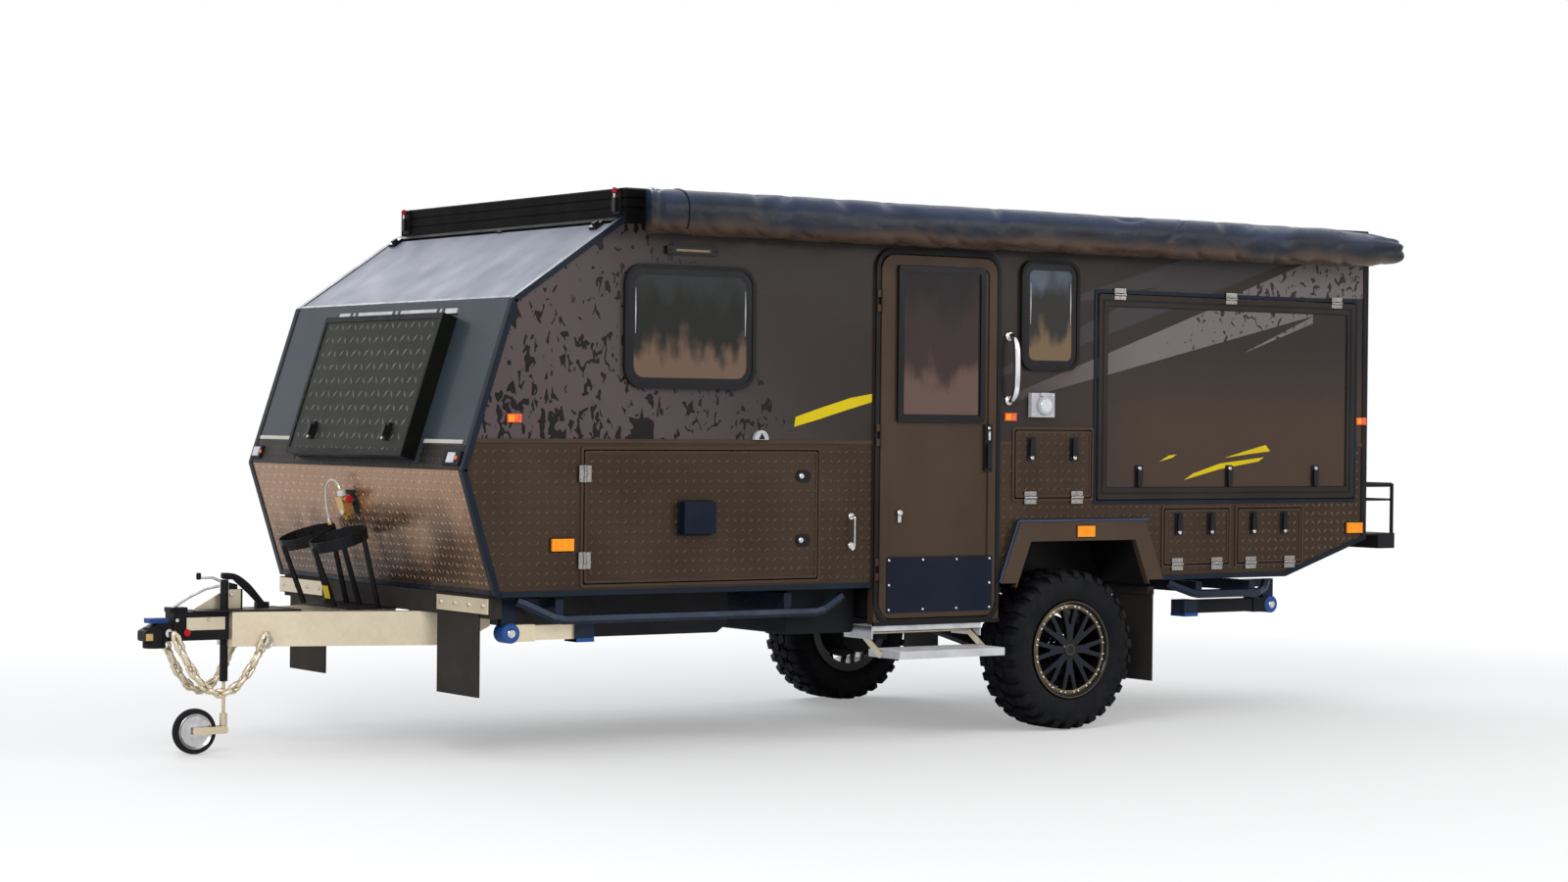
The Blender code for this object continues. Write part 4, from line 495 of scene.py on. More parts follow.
FINISH = {made.material.name: made.material for made in (
    printed_side("side_print"),
    tread_plate("side_tread", (0.042, 0.027, 0.018), (0.052, 0.035, 0.024), (0.135, 0.095, 0.066),
                (0.28, 0.40), 0.5, 0.044),
    bronze_plate("nose_tread"),
    tread_plate("guard_tread", (0.006, 0.007, 0.005), (0.010, 0.011, 0.008), (0.110, 0.120, 0.090),
                (0.28, 0.38), 0.4,
                0.062, "y", 0.0045),
    tread_plate("knee_tread", (0.022, 0.019, 0.016), (0.030, 0.025, 0.021), (0.080, 0.066, 0.052),
                (0.34, 0.44), 0.5,
                0.030, "y"),
    # The front panels' blue-grey is partly a painted sky reflection: the steep panel's dark paint is blued,
    # and the slope's is lightened to a pale blue-grey.
    coated("steep_paint_sky_sheen", (0.033, 0.047, 0.061), (0.048, 0.062, 0.078), (0.25, 0.38), 0.2, 0.1, 1.2),
    coated("slope_paint_sky_sheen", (0.185, 0.198, 0.250), (0.215, 0.228, 0.282), (0.42, 0.56), 0.0, 0.0, 1.6),
    coated("roof_black", (0.0040, 0.0046, 0.0040), (0.0065, 0.0068, 0.0058), (0.42, 0.54), shine=0.03),
    coated("satin_black", (0.0070, 0.0070, 0.0085), (0.012, 0.012, 0.014), (0.38, 0.52)),
    coated("gloss_black", (0.006, 0.006, 0.008), (0.009, 0.009, 0.012), (0.12, 0.20), 0.0, 0.2),
    # Black trim, tinted blue as a painted sky reflection on its edges.
    coated("edge_black_sky_tint", (0.008, 0.012, 0.021), (0.012, 0.018, 0.030), (0.24, 0.36), 0.2),
    coated("hatch_frame", (0.024, 0.018, 0.015), (0.031, 0.024, 0.020), (0.26, 0.36), 0.2),
    coated("door_brown", (0.050, 0.032, 0.021), (0.059, 0.039, 0.026), (0.34, 0.46), 0.15),
    flare("flare_brown", (0.054, 0.035, 0.024), (0.066, 0.044, 0.030)),
    coated("kick_blue", (0.005, 0.008, 0.019), (0.008, 0.012, 0.026), (0.26, 0.38), 0.2),
    coated("rubber_black", (0.008, 0.008, 0.010), (0.013, 0.013, 0.015), (0.70, 0.85)),
    coated("flap_rubber", (0.026, 0.021, 0.018), (0.034, 0.028, 0.024), (0.62, 0.78)),
    coated("bar_blue_black", (0.012, 0.018, 0.032), (0.017, 0.025, 0.044), (0.22, 0.34), 0.3),
    coated("tank_black", (0.0040, 0.0045, 0.0065), (0.0065, 0.0075, 0.0110), (0.45, 0.6)),
    coated("steel_dull", (0.36, 0.34, 0.33), (0.27, 0.26, 0.25), (0.20, 0.32), 1.0, 0.0, 40),
    coated("steel_bright", (0.66, 0.66, 0.66), (0.52, 0.52, 0.53), (0.16, 0.28), 1.0, 0.0, 30),
    coated("aluminium_step", (0.60, 0.61, 0.63), (0.48, 0.49, 0.52), (0.28, 0.42), 1.0, 0.0, 12),
    coated("chrome_bright", (0.80, 0.80, 0.81), (0.76, 0.76, 0.78), (0.05, 0.09), 1.0),
    coated("brass_warm", (0.62, 0.42, 0.16), (0.48, 0.31, 0.12), (0.22, 0.36), 1.0, 0.0, 25),
    coated("lamp_amber", (0.95, 0.33, 0.01), (0.90, 0.27, 0.005), (0.20, 0.30), 0.0, 0.4, 60),
    coated("lamp_red", (0.72, 0.075, 0.03), (0.88, 0.15, 0.05), (0.20, 0.30), 0.0, 0.4, 60),
    coated("lamp_clear", (0.55, 0.57, 0.62), (0.65, 0.67, 0.70), (0.10, 0.18), 0.2, 0.4, 60),
    coated("lamp_strip", (0.34, 0.25, 0.14), (0.28, 0.20, 0.11), (0.25, 0.35), 0.0, 0.2, 40),
    coated("accent_yellow", (0.62, 0.47, 0.006), (0.56, 0.42, 0.005), (0.40, 0.50)),
    coated("accent_red", (0.45, 0.01, 0.02), (0.35, 0.01, 0.02), (0.30, 0.40)),
    coated("leg_blue", (0.018, 0.055, 0.20), (0.026, 0.080, 0.28), (0.30, 0.42)),
    coated("plastic_grey", (0.40, 0.40, 0.43), (0.47, 0.47, 0.50), (0.32, 0.42), 0.0, 0.0, 10),
    coated("hose_white", (0.62, 0.60, 0.56), (0.52, 0.50, 0.46), (0.45, 0.55), 0.0, 0.0, 20),
    coated("wheel_gloss", (0.004, 0.004, 0.006), (0.007, 0.007, 0.009), (0.10, 0.18), 0.2, 0.3),
    coated("wheel_edge", (0.16, 0.12, 0.075), (0.11, 0.085, 0.055), (0.22, 0.34), 0.9, 0.0, 15),
    coated("tyre_rubber", (0.0040, 0.0046, 0.0070), (0.0080, 0.0082, 0.0100), (0.60, 0.78), 0.0, 0.0, 9,
           (260, 0.0003)),
    coated("spoke_blue", (0.009, 0.015, 0.031), (0.006, 0.009, 0.019), (0.14, 0.24), 0.4, 0.2, 8),
    # A painted sky highlight: the blue of the sky on the flares' upturned edges.
    coated("painted_sky_highlight", (0.038, 0.070, 0.140), (0.030, 0.056, 0.115), (0.25, 0.38), 0.2),
    coated("trim_light", (0.62, 0.60, 0.52), (0.52, 0.50, 0.44), (0.30, 0.42), 0.2),
    coated_cloth("awning_vinyl"),
    canvas("canvas_grey", (0.16, 0.165, 0.165), (0.20, 0.205, 0.205)),
    pane_with_painted_reflection("front_pane", 1.640, 2.143,
                ((0.130, 0.078, 0.052), (0.008, 0.009, 0.006), (0.020, 0.023, 0.024)), 0.16),
    pane_with_painted_reflection("small_pane", 1.757, 2.240,
                ((0.150, 0.098, 0.052), (0.020, 0.019, 0.016), (0.085, 0.110, 0.145)), 0.14),
    pane_with_painted_reflection("door_pane", 1.500, 2.190,
                ((0.110, 0.062, 0.050), (0.030, 0.016, 0.015), (0.012, 0.008, 0.009)), 0.12),
    plated("zinc_beam", (0.80, 0.70, 0.53), (0.56, 0.48, 0.35), (0.26, 0.40)),
    plated("zinc_chain", (0.82, 0.72, 0.54), (0.60, 0.50, 0.36), (0.20, 0.32), 160),
)}

NODE_FINISH = {
    "side_print": ("side_upper_left", "side_upper_right", "rear_wall", "kitchen_hatch"),
    "side_tread": ("side_lower_front", "side_lower_rear", "side_lower_right", "storage_hatch_left",
                   "storage_hatch_right", "table_hatch", "locker_front", "locker_rear"),
    "nose_tread": ("front_lower",),
    "guard_tread": ("stone_guard",),
    "steep_paint_sky_sheen": ("front_steep",),
    "slope_paint_sky_sheen": ("front_slope",),
    "roof_black": ("pop_top", "roof_frame"),
    "satin_black": ("floor", "coupling", "jockey_jack", "gas_holders", "suspension_left", "suspension_right",
                    "under_box", "rear_bumper"),
    "bar_blue_black": ("under_bars_front", "under_bars_rear"),
    "door_brown": ("entry_door", "door_frame"),
    "flare_brown": ("wheel_arch_left", "wheel_arch_right"),
    "zinc_beam": ("chassis_rail_left", "chassis_rail_right", "drawbar_left", "drawbar_right", "jockey_fork",
                  "step_arms"),
    "zinc_chain": ("safety_chain_left", "safety_chain_right"),
    "aluminium_step": ("step_frame", "step_tread"),
    "flap_rubber": ("front_flaps", "rear_flaps"),
    "rubber_black": ("tyre_left", "tyre_right", "spare_wheel", "jockey_wheel"),
    "wheel_gloss": ("rim_left", "rim_right"),
    "awning_vinyl": ("awning_bag",),
    "canvas_grey": ("canvas_skirt",),
    "front_pane": ("front_window_left", "front_window_right"),
    "small_pane": ("small_window",),
    "door_pane": ("door_window",),
    "tank_black": ("water_tank",),
    "chrome_bright": ("grab_handle",),
    "brass_warm": ("gas_regulator",),
}
for finish_name, nodes in NODE_FINISH.items():
    for node in nodes:
        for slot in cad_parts[node].material_slots:
            slot.material = FINISH[finish_name]


# Shapes: each gives a mesh in the trailer's own frame

SOFT_DEGREES = 40                        # an edge sharper than this is rounded
SMOOTH_DEGREES = 38                      # an edge sharper than this is shaded as an edge
WELD = 1e-6


def finished(shape):
    bmesh.ops.recalc_face_normals(shape, faces=shape.faces)
    mesh = bpy.data.meshes.new("shape")
    shape.to_mesh(mesh)
    shape.free()
    return mesh


def softened(shape, width, steps=2):
    """Rounds the shape's sharp edges."""
    if width:
        edges = [e for e in shape.edges
                 if len(e.link_faces) == 2 and e.calc_face_angle() > math.radians(SOFT_DEGREES)]
        bmesh.ops.bevel(shape, geom=edges, offset=width, segments=steps, affect="EDGES", profile=0.5)
    return shape


def axis_point(axis, along, a, b):
    """A point at along on an axis: a and b are (x, z) for Y, (y, z) for X and (x, y) for Z."""
    return {"X": (along, a, b), "Y": (a, along, b), "Z": (a, b, along)}[axis]


def bridge(shape, here, beyond):
    """Faces between two closed rings of as many points."""
    for k in range(len(here)):
        m = (k + 1) % len(here)
        shape.faces.new((here[k], here[m], beyond[m], beyond[k]))


def swept(outline, axis, low, high):
    """An outline extruded along an axis: its points are as axis_point takes them."""
    shape = bmesh.new()
    ends = [[shape.verts.new(axis_point(axis, along, a, b)) for a, b in outline] for along in (low, high)]
    for end in ends:
        shape.faces.new(end)
    bridge(shape, *ends)
    return shape


def prism(outline, axis, low, high, soft=0.0):
    return finished(softened(swept(outline, axis, low, high), soft))


def box(x, y, z, soft=0.0):
    return prism(rectangle(x, z), "Y", min(y), max(y), soft)


def rectangle(x, z, grow=0.0):
    front, rear, foot, head = x[0] - grow, x[1] + grow, z[0] - grow, z[1] + grow
    return [(front, foot), (rear, foot), (rear, head), (front, head)]


def rounded(outline, radius, steps=6):
    points = []
    for i, corner in enumerate(outline):
        here = Vector(corner)
        back = (Vector(outline[i - 1]) - here).normalized()
        ahead = (Vector(outline[(i + 1) % len(outline)]) - here).normalized()
        half = back.angle(ahead) / 2
        run = radius / math.tan(half)
        centre = here + (back + ahead).normalized() * (radius / math.sin(half))
        start, end = here + back * run - centre, here + ahead * run - centre
        turn = start.angle_signed(end)
        for k in range(steps + 1):
            points.append(tuple(centre + Matrix.Rotation(-turn * k / steps, 2) @ start))
    return points


def border(outside, inside, axis, low, high, soft=0.0):
    """A frame between two outlines of as many points."""
    shape = bmesh.new()
    low_out, low_in, high_out, high_in = [[shape.verts.new(axis_point(axis, along, a, b)) for a, b in outline]
                                          for along in (low, high) for outline in (outside, inside)]
    for here, beyond in ((low_out, low_in), (low_in, high_in), (high_in, high_out), (high_out, low_out)):
        bridge(shape, here, beyond)
    return finished(softened(shape, soft))


def turned(profile, centre, axis="Y", segments=32, open_ends=False):
    """A closed outline of (distance along the axis, radius) turned round the axis."""
    shape = bmesh.new()
    rings = []
    for s in range(segments):
        angle = 2 * math.pi * s / segments
        ring = []
        for along, radius in profile:
            u, v = radius * math.cos(angle), radius * math.sin(angle)
            ring.append(shape.verts.new(Vector(centre) + Vector(axis_point(axis, along, u, v))))
        rings.append(ring)
    spans = len(profile) - 1 if open_ends else len(profile)
    for s in range(segments):
        here, beyond = rings[s], rings[(s + 1) % segments]
        for i in range(spans):
            j = (i + 1) % len(profile)
            shape.faces.new((here[i], here[j], beyond[j], beyond[i]))
    if open_ends:
        bmesh.ops.remove_doubles(shape, verts=shape.verts, dist=WELD)
    return finished(shape)


def disc(centre, radius, low, high, axis="Y", segments=24, soft=0.0):
    """A round bar through centre, with its ends' edges rounded."""
    soft = min(soft, radius * 0.6, (high - low) * 0.45)
    profile = [(low, 1e-7), (low, radius - soft), (low + soft, radius), (high - soft, radius),
               (high, radius - soft), (high, 1e-7)]
    return turned(profile, centre, axis, segments, open_ends=True)


def rod(points, radius, sides=10, closed=False):
    """A round bar along the points; radius is one value or one for each point."""
    points = [Vector(p) for p in points]
    radii = radius if isinstance(radius, (list, tuple)) else [radius] * len(points)
    count = len(points)
    shape = bmesh.new()
    rings = []
    side = None
    for i, here in enumerate(points):
        before = points[i - 1] if i or closed else here
        after = points[(i + 1) % count] if i < count - 1 or closed else here
        run = (after - before).normalized()
        side = run.orthogonal().normalized() if side is None else (side - run * side.dot(run)).normalized()
        up = run.cross(side)
        rings.append([shape.verts.new(here + radii[i] * (math.cos(t) * side + math.sin(t) * up))
                      for t in (2 * math.pi * k / sides for k in range(sides))])
    for i in range(count if closed else count - 1):
        bridge(shape, rings[i], rings[(i + 1) % count])
    if not closed:
        shape.faces.new(rings[0])
        shape.faces.new(rings[-1])
    return finished(shape)


def between(a, b, c, d, t):
    """The point at share t of the way from b to c, on a smooth line through all four."""
    return 0.5 * (2 * b + (c - a) * t + (2 * a - 5 * b + 4 * c - d) * t ** 2
                  + (3 * b - a - 3 * c + d) * t ** 3)


def curved(points, steps=6):
    """A smooth line through the points."""
    points = [Vector(p) for p in points]
    line = []
    for i in range(len(points) - 1):
        a, b = points[max(i - 1, 0)], points[i]
        c, d = points[i + 1], points[min(i + 2, len(points) - 1)]
        line += [between(a, b, c, d, k / steps) for k in range(steps)]
    return line + [points[-1]]


def placed(mesh, along, toward, out, at):
    """A mesh built in (along, toward, out) coordinates, set at its place."""
    mesh = mesh.copy()
    turn = Matrix((along, toward, out)).transposed().to_4x4()
    mesh.transform(Matrix.Translation(at) @ turn)
    if turn.determinant() < 0:
        mesh.flip_normals()
    return mesh


def make(name, body, parts):
    """One object from (mesh, finish name) pairs, riding on a body if one is given, with a material slot for
    each finish.
    """
    shape = bmesh.new()
    mesh = bpy.data.meshes.new(name)
    for part, finish_name in parts:
        if FINISH[finish_name].name not in mesh.materials:
            mesh.materials.append(FINISH[finish_name])
        first = len(shape.faces)
        shape.from_mesh(part)
        shape.faces.ensure_lookup_table()
        index = mesh.materials.find(FINISH[finish_name].name)
        for face in shape.faces[first:]:
            face.material_index = index
    shape.to_mesh(mesh)
    shape.free()
    mesh.transform(Matrix.Translation(-MIDDLE))
    mesh.shade_smooth()
    mesh.set_sharp_from_angle(angle=math.radians(SMOOTH_DEGREES))
    made = bpy.data.objects.new(name, mesh)
    bpy.context.scene.collection.objects.link(made)
    if body:
        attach(made, body)
    return made


def side_pair(side, low, high):
    """The y pair of what runs from low to high out from the centreline, on one side."""
    return tuple(sorted((side * low, side * high)))


def out_pair(side, low, high):
    """The y pair of what stands from low to high out of the side wall."""
    return side_pair(side, HALF + low, HALF + high)


def on_side(side, x, z, out=0.0):
    """The directions along x, up and out of a side wall, and a place on it."""
    return X, Z, Vector((0, side, 0)), Vector((x, side * (HALF + out), z))


# Side walls: windows, lamps, edges

WINDOWS = (
    # name, side, x pair, z pair, radius of the opening
    ("front_window_left", NEAR, (0.811, 1.457), (1.640, 2.143), 0.070),
    ("front_window_right", FAR, (0.811, 1.457), (1.640, 2.143), 0.070),
    ("small_window", NEAR, (3.030, 3.345), (1.757, 2.240), 0.050),
)
PANE_RIM, PANE_OUT = 0.016, 0.014


def window_frames():
    for name, side, x, z, radius in WINDOWS:
        edge = rounded(rectangle(x, z, PANE_RIM + 0.006), radius + PANE_RIM + 0.006, 8)
        lip = rounded(rectangle(x, z, PANE_RIM - 0.012), radius + PANE_RIM - 0.012, 8)
        inner = rounded(rectangle(x, z, -0.026), radius - 0.018, 8)
        parts = [(border(edge, lip, "Y", *out_pair(side, 0.0006, PANE_OUT + 0.006), 0.003), "satin_black"),
                 (border(lip, inner, "Y", *out_pair(side, PANE_OUT - 0.002, PANE_OUT + 0.0012), 0.0006),
                  "gloss_black")]
        top = z[1] - 0.085
        # Pale tapered rods at the pane's inner sides: a painted highlight, the glint along its edge.
        for at_x in (x[0] + 0.034, x[1] - 0.034):
            painted_glint = rod([(at_x, side * (HALF + PANE_OUT + 0.001), h) for h in (top - 0.20, top - 0.10, top)],
                        [0.001, 0.0035, 0.001], 8)
            parts.append((painted_glint, "plastic_grey"))
        make(name + "_frame", "trailer", parts)


AMBER_LAMPS = (
    # middle x, middle z, how far the face behind stands out, and the lens and its base from there
    (0.490, 0.937, 0.000, 0.0140, 0.004),
    (3.413, 0.962, 0.026, 0.0055, 0.002),
    (5.237, 0.958, 0.000, 0.0140, 0.004),
)
SMALL_LAMPS = ((0.247, 1.482), (2.955, 1.511), (5.279, 1.509))


def side_lamps():
    for side, name in ((NEAR, "left"), (FAR, "right")):
        parts = []
        for x, z, out, lens, base in AMBER_LAMPS:
            y = out_pair(side, out, out + lens)
            parts.append((box((x - 0.0545, x + 0.0545), y, (z - 0.0265, z + 0.0265), 0.001), "lamp_amber"))
            for k in range(-4, 5):
                middle = x + k * 0.011
                y = out_pair(side, out + lens - 0.001, out + lens + 0.0006)
                flute = box((middle - 0.0035, middle + 0.0035), y, (z - 0.021, z + 0.021), 0.0005)
                parts.append((flute, "lamp_amber"))
            y = out_pair(side, out, out + base)
            parts.append((box((x - 0.060, x + 0.060), y, (z - 0.031, z + 0.031), 0.0008), "satin_black"))
        for x, z in SMALL_LAMPS:
            if side == FAR and 2 < x < 4:
                continue
            y = out_pair(side, 0, 0.0095)
            parts.append((box((x - 0.0345, x + 0.0345), y, (z - 0.0185, z + 0.0185), 0.0008), "lamp_red"))
            for low, high, kind in ((-0.031, -0.001, "lamp_amber"), (0.001, 0.031, "lamp_red")):
                lens = box((x + low, x + high), out_pair(side, 0.0085, 0.012), (z - 0.014, z + 0.014), 0.0015)
                parts.append((lens, kind))
        make("side_lamps_" + name, "trailer", parts)


def edges():
    """Folded trims round the front panels, along belt and sill and up the rear corners, and a painted sky
    highlight over the arches.
    """
    path = [(NOSE_FOOT_X, BODY_BOTTOM), (0, KNEE_Z), BROW, ROOF_FRONT]
    for side, name in ((NEAR, "left"), (FAR, "right")):
        parts = []
        for low, high in zip(path, path[1:]):
            a, b = Vector(low), Vector(high)
            run = (b - a).normalized()
            inward = Vector((run.y, -run.x))
            lip = [a - inward * 0.004, b - inward * 0.004, b + inward * 0.022, a + inward * 0.022]
            parts.append((prism([tuple(p) for p in lip], "Y", *out_pair(side, SEAT, 0.0045), 0.001),
                          "edge_black_sky_tint"))
            face = [a - inward * 0.004, b - inward * 0.004, b - inward * SEAT, a - inward * SEAT]
            y = out_pair(side, -0.030, 0.004)
            parts.append((prism([tuple(p) for p in face], "Y", *y, 0.001), "edge_black_sky_tint"))
        belts = ((0.050, 2.147), (2.890, 2.966), (5.252, 5.318)) if side == NEAR else ((0.050, 5.318),)
        for x in belts:
            parts.append((box(x, out_pair(side, SEAT, 0.004), (BELT_Z - 0.011, BELT_Z + 0.007), 0.0015),
                          "door_brown"))
        sills = [(0.190, 2.147), (2.890, 2.895), (3.925, 4.756)] if side == NEAR else [(0.190, 2.880),
                                                                                       (3.925, 4.756)]
        for x in sills:
            if x[1] - x[0] > 0.02:
                strip = box(x, out_pair(side, SEAT, 0.006), (BODY_BOTTOM - 0.004, BODY_BOTTOM + 0.020), 0.002)
                parts.append((strip, "edge_black_sky_tint"))
        slant = [(4.756, 0.716), (5.325, 0.899), (5.325, 0.925), (4.756, 0.742)]
        parts.append((prism(slant, "Y", *out_pair(side, SEAT, 0.006), 0.002), "edge_black_sky_tint"))
        corner = box((REAR_X - 0.030, REAR_X + 0.004), out_pair(side, SEAT, 0.005), (0.905, 2.330), 0.0015)
        parts.append((corner, "satin_black"))
        make("edge_trim_" + name, "trailer", parts)
    for side, name in ((NEAR, "left"), (FAR, "right")):
        y = side * (HALF + 0.0262)
        # A blue rod along each flare's edge: a painted sky highlight on its bevel.
        strip = [(2.885, y, 0.726), (2.9935, y, 1.010), (3.000, y, 1.0155), (3.812, y, 1.0155)]
        make("arch_sky_highlight_" + name, "trailer", [(rod(strip, 0.0055, 10), "painted_sky_highlight")])


# Hinges, latches and hatch frames

def screw(at, out, radius=0.0045):
    """A domed screw head with its face along out."""
    base = disc((0, 0, 0), radius, 0, 0.0022, "Z", 12, 0.0012)
    side = out.orthogonal().normalized()
    return placed(base, side, out.cross(side), out, at)


BARREL_R = 0.0062
CENTRE_SPANS = ((-0.0126, 0.0126),)      # along the axis: the centre barrel, and the two beside it
OUTER_SPANS = ((-0.0375, -0.0129), (0.0129, 0.0375))
LEAF_SHEET = (-0.0015, 0.0010)
LEAF_FROM, WEB_TO = 0.008, 0.010         # away from the axis: where a plate starts and where its webs end


def hinge_leaf(at, along, toward, out, centre_barrel, wide=0.030, tall=0.072):
    """One plate of a butt hinge about the axis at, with its screws and its own barrels."""
    outline = rounded(rectangle((-tall / 2, tall / 2), (LEAF_FROM, wide)), 0.003, 3)
    plate = prism(outline, "Z", *LEAF_SHEET, 0.0006)
    parts = [placed(plate, along, toward, out, at)]
    for share in (-0.34, 0, 0.34):
        parts.append(screw(at + along * tall * share + toward * wide * 0.66 + out * 0.0008, out))
    for low, high in CENTRE_SPANS if centre_barrel else OUTER_SPANS:
        barrel = disc((0, 0, 0), BARREL_R, low, high, "X", 16, 0.0005)
        web = prism(rectangle((low, high), (0, WEB_TO)), "Z", *LEAF_SHEET)
        parts += [placed(barrel, along, toward, out, at), placed(web, along, toward, out, at)]
    return [(part, "steel_dull") for part in parts]


def strap_latch(side, x, z, upward=True, length=0.115):
    """A black paddle latch with a bright key barrel; upward puts the barrel at its lower end."""
    along, up, out, at = on_side(side, x, z)
    if not upward:
        along, up = -along, -up
    outline = rounded(rectangle((-0.024, 0.024), (-length / 2, length / 2)), 0.008, 4)
    plate = prism(outline, "Z", 0.004, 0.009, 0.001)
    paddle = prism(rounded([(-0.017, -length * 0.30), (0.017, -length * 0.30), (0.013, length * 0.44),
                            (-0.013, length * 0.44)], 0.006, 4), "Z", 0.008, 0.021, 0.003)
    key = disc((0, -length * 0.36, 0), 0.0105, 0.008, 0.019, "Z", 20, 0.002)
    return [(placed(plate, along, up, out, at), "satin_black"),
            (placed(paddle, along, up, out, at), "gloss_black"),
            (placed(key, along, up, out, at), "steel_bright")]


def knob_latch(side, x, z):
    """A round recessed latch with a folding key at its front."""
    along, up, out, at = on_side(side, x, z)
    cup = prism(rounded(rectangle((-0.038, 0.038), (-0.028, 0.028)), 0.026, 8), "Z", 0.004, 0.010, 0.002)
    tab = prism(rounded(rectangle((0.0, 0.034), (-0.012, 0.012)), 0.005, 3), "Z", 0.009, 0.014, 0.001)
    key = disc((-0.016, 0, 0), 0.013, 0.009, 0.020, "Z", 20, 0.003)
    return [(placed(cup, along, up, out, at), "gloss_black"),
            (placed(tab, along, up, out, at), "satin_black"),
            (placed(key, along, up, out, at), "steel_bright")]


HATCHES = (
    # body, side, x pair, z pair, hinged edge, hinge shares, latches as (kind, x, z)
    ("storage_door_left", NEAR, (0.594, 1.842), (0.762, 1.350), "front", (0.18, 0.82),
     (("knob", 1.755, 1.232), ("knob", 1.755, 0.941))),
    ("storage_door_right", FAR, (0.594, 1.842), (0.762, 1.350), "front", (0.18, 0.82),
     (("knob", 1.755, 1.232), ("knob", 1.755, 0.941))),
    ("table_door", NEAR, (2.982, 3.464), (1.120, 1.452), "bottom", (0.20, 0.80),
     (("low", 3.084, 1.358), ("low", 3.349, 1.358))),
    ("kitchen_door", NEAR, (3.490, 5.232), (1.108, 2.120), "top", (0.08, 0.50, 0.92),
     (("high", 3.762, 1.224), ("high", 4.359, 1.224), ("high", 4.952, 1.224))),
    ("locker_door_front", NEAR, (3.931, 4.368), (0.785, 1.068), "bottom", (0.20, 0.80),
     (("low", 4.029, 0.990), ("low", 4.244, 0.990))),
    ("locker_door_rear", NEAR, (4.421, 4.867), (0.785, 1.068), "bottom", (0.20, 0.80),
     (("low", 4.530, 0.990), ("low", 4.743, 0.990))),
)


HATCH_GAP = 0.0075                       # a hatch's rim, in from its opening
HINGE_OUT, HINGE_IN = 0.010, 0.006       # a hinge's axis, out of the wall and in from the opening's edge


def hatch_hardware():
    for body, side, x, z, edge, shares, latches in HATCHES:
        leaf, wall = [], []
        big = body == "kitchen_door"
        trim = 0.016 if big else 0.012
        rim, trim_finish = ("hatch_frame", "edge_black_sky_tint") if big else ("door_brown", "door_brown")
        opening = rounded(rectangle(x, z, -0.0005), 0.008, 3)
        around = rounded(rectangle(x, z, trim), 0.014, 3)
        wall.append((border(around, opening, "Y", *out_pair(side, SEAT, 0.005), 0.0015), trim_finish))
        panel = rounded(rectangle(x, z, -HATCH_GAP), 0.008, 3)
        wide = 0.053 if big else 0.010
        inner = rounded(rectangle(x, z, -HATCH_GAP - wide), 0.006, 3)
        rim_out = 0.0105 if big else 0.0065
        leaf.append((border(panel, inner, "Y", *out_pair(side, 0.002, rim_out), 0.0015), rim))
        if big:
            groove = rounded(rectangle(x, z, -HATCH_GAP - wide * 0.45), 0.006, 3)
            bead = rounded(rectangle(x, z, -HATCH_GAP - wide * 0.62), 0.006, 3)
            leaf.append((border(groove, bead, "Y", *out_pair(side, 0.009, 0.0125), 0.001), "satin_black"))
            inside = rounded(rectangle(x, z, -HATCH_GAP - wide - 0.006), 0.006, 3)
            leaf.append((border(inner, inside, "Y", *out_pair(side, 0.002, 0.0075), 0.001),
                         "edge_black_sky_tint"))
        out = Vector((0, side, 0))
        for share in shares:
            if edge == "front":
                at = Vector((x[0] + HINGE_IN, side * (HALF + HINGE_OUT), z[0] + share * (z[1] - z[0])))
                along, toward = Z, X
            else:
                height = z[0] + HINGE_IN if edge == "bottom" else z[1] - HINGE_IN
                at = Vector((x[0] + share * (x[1] - x[0]), side * (HALF + HINGE_OUT), height))
                along, toward = X, Vector((0, 0, 1 if edge == "bottom" else -1))
            leaf += hinge_leaf(at, along, toward, out, True)
            wall += hinge_leaf(at, along, -toward, out, False)
        for kind, at_x, at_z in latches:
            if kind == "knob":
                leaf += knob_latch(side, at_x, at_z)
            else:
                leaf += strap_latch(side, at_x, at_z, kind == "low")
        make(body + "_fittings", body, leaf)
        make(body + "_surround", "trailer", wall)


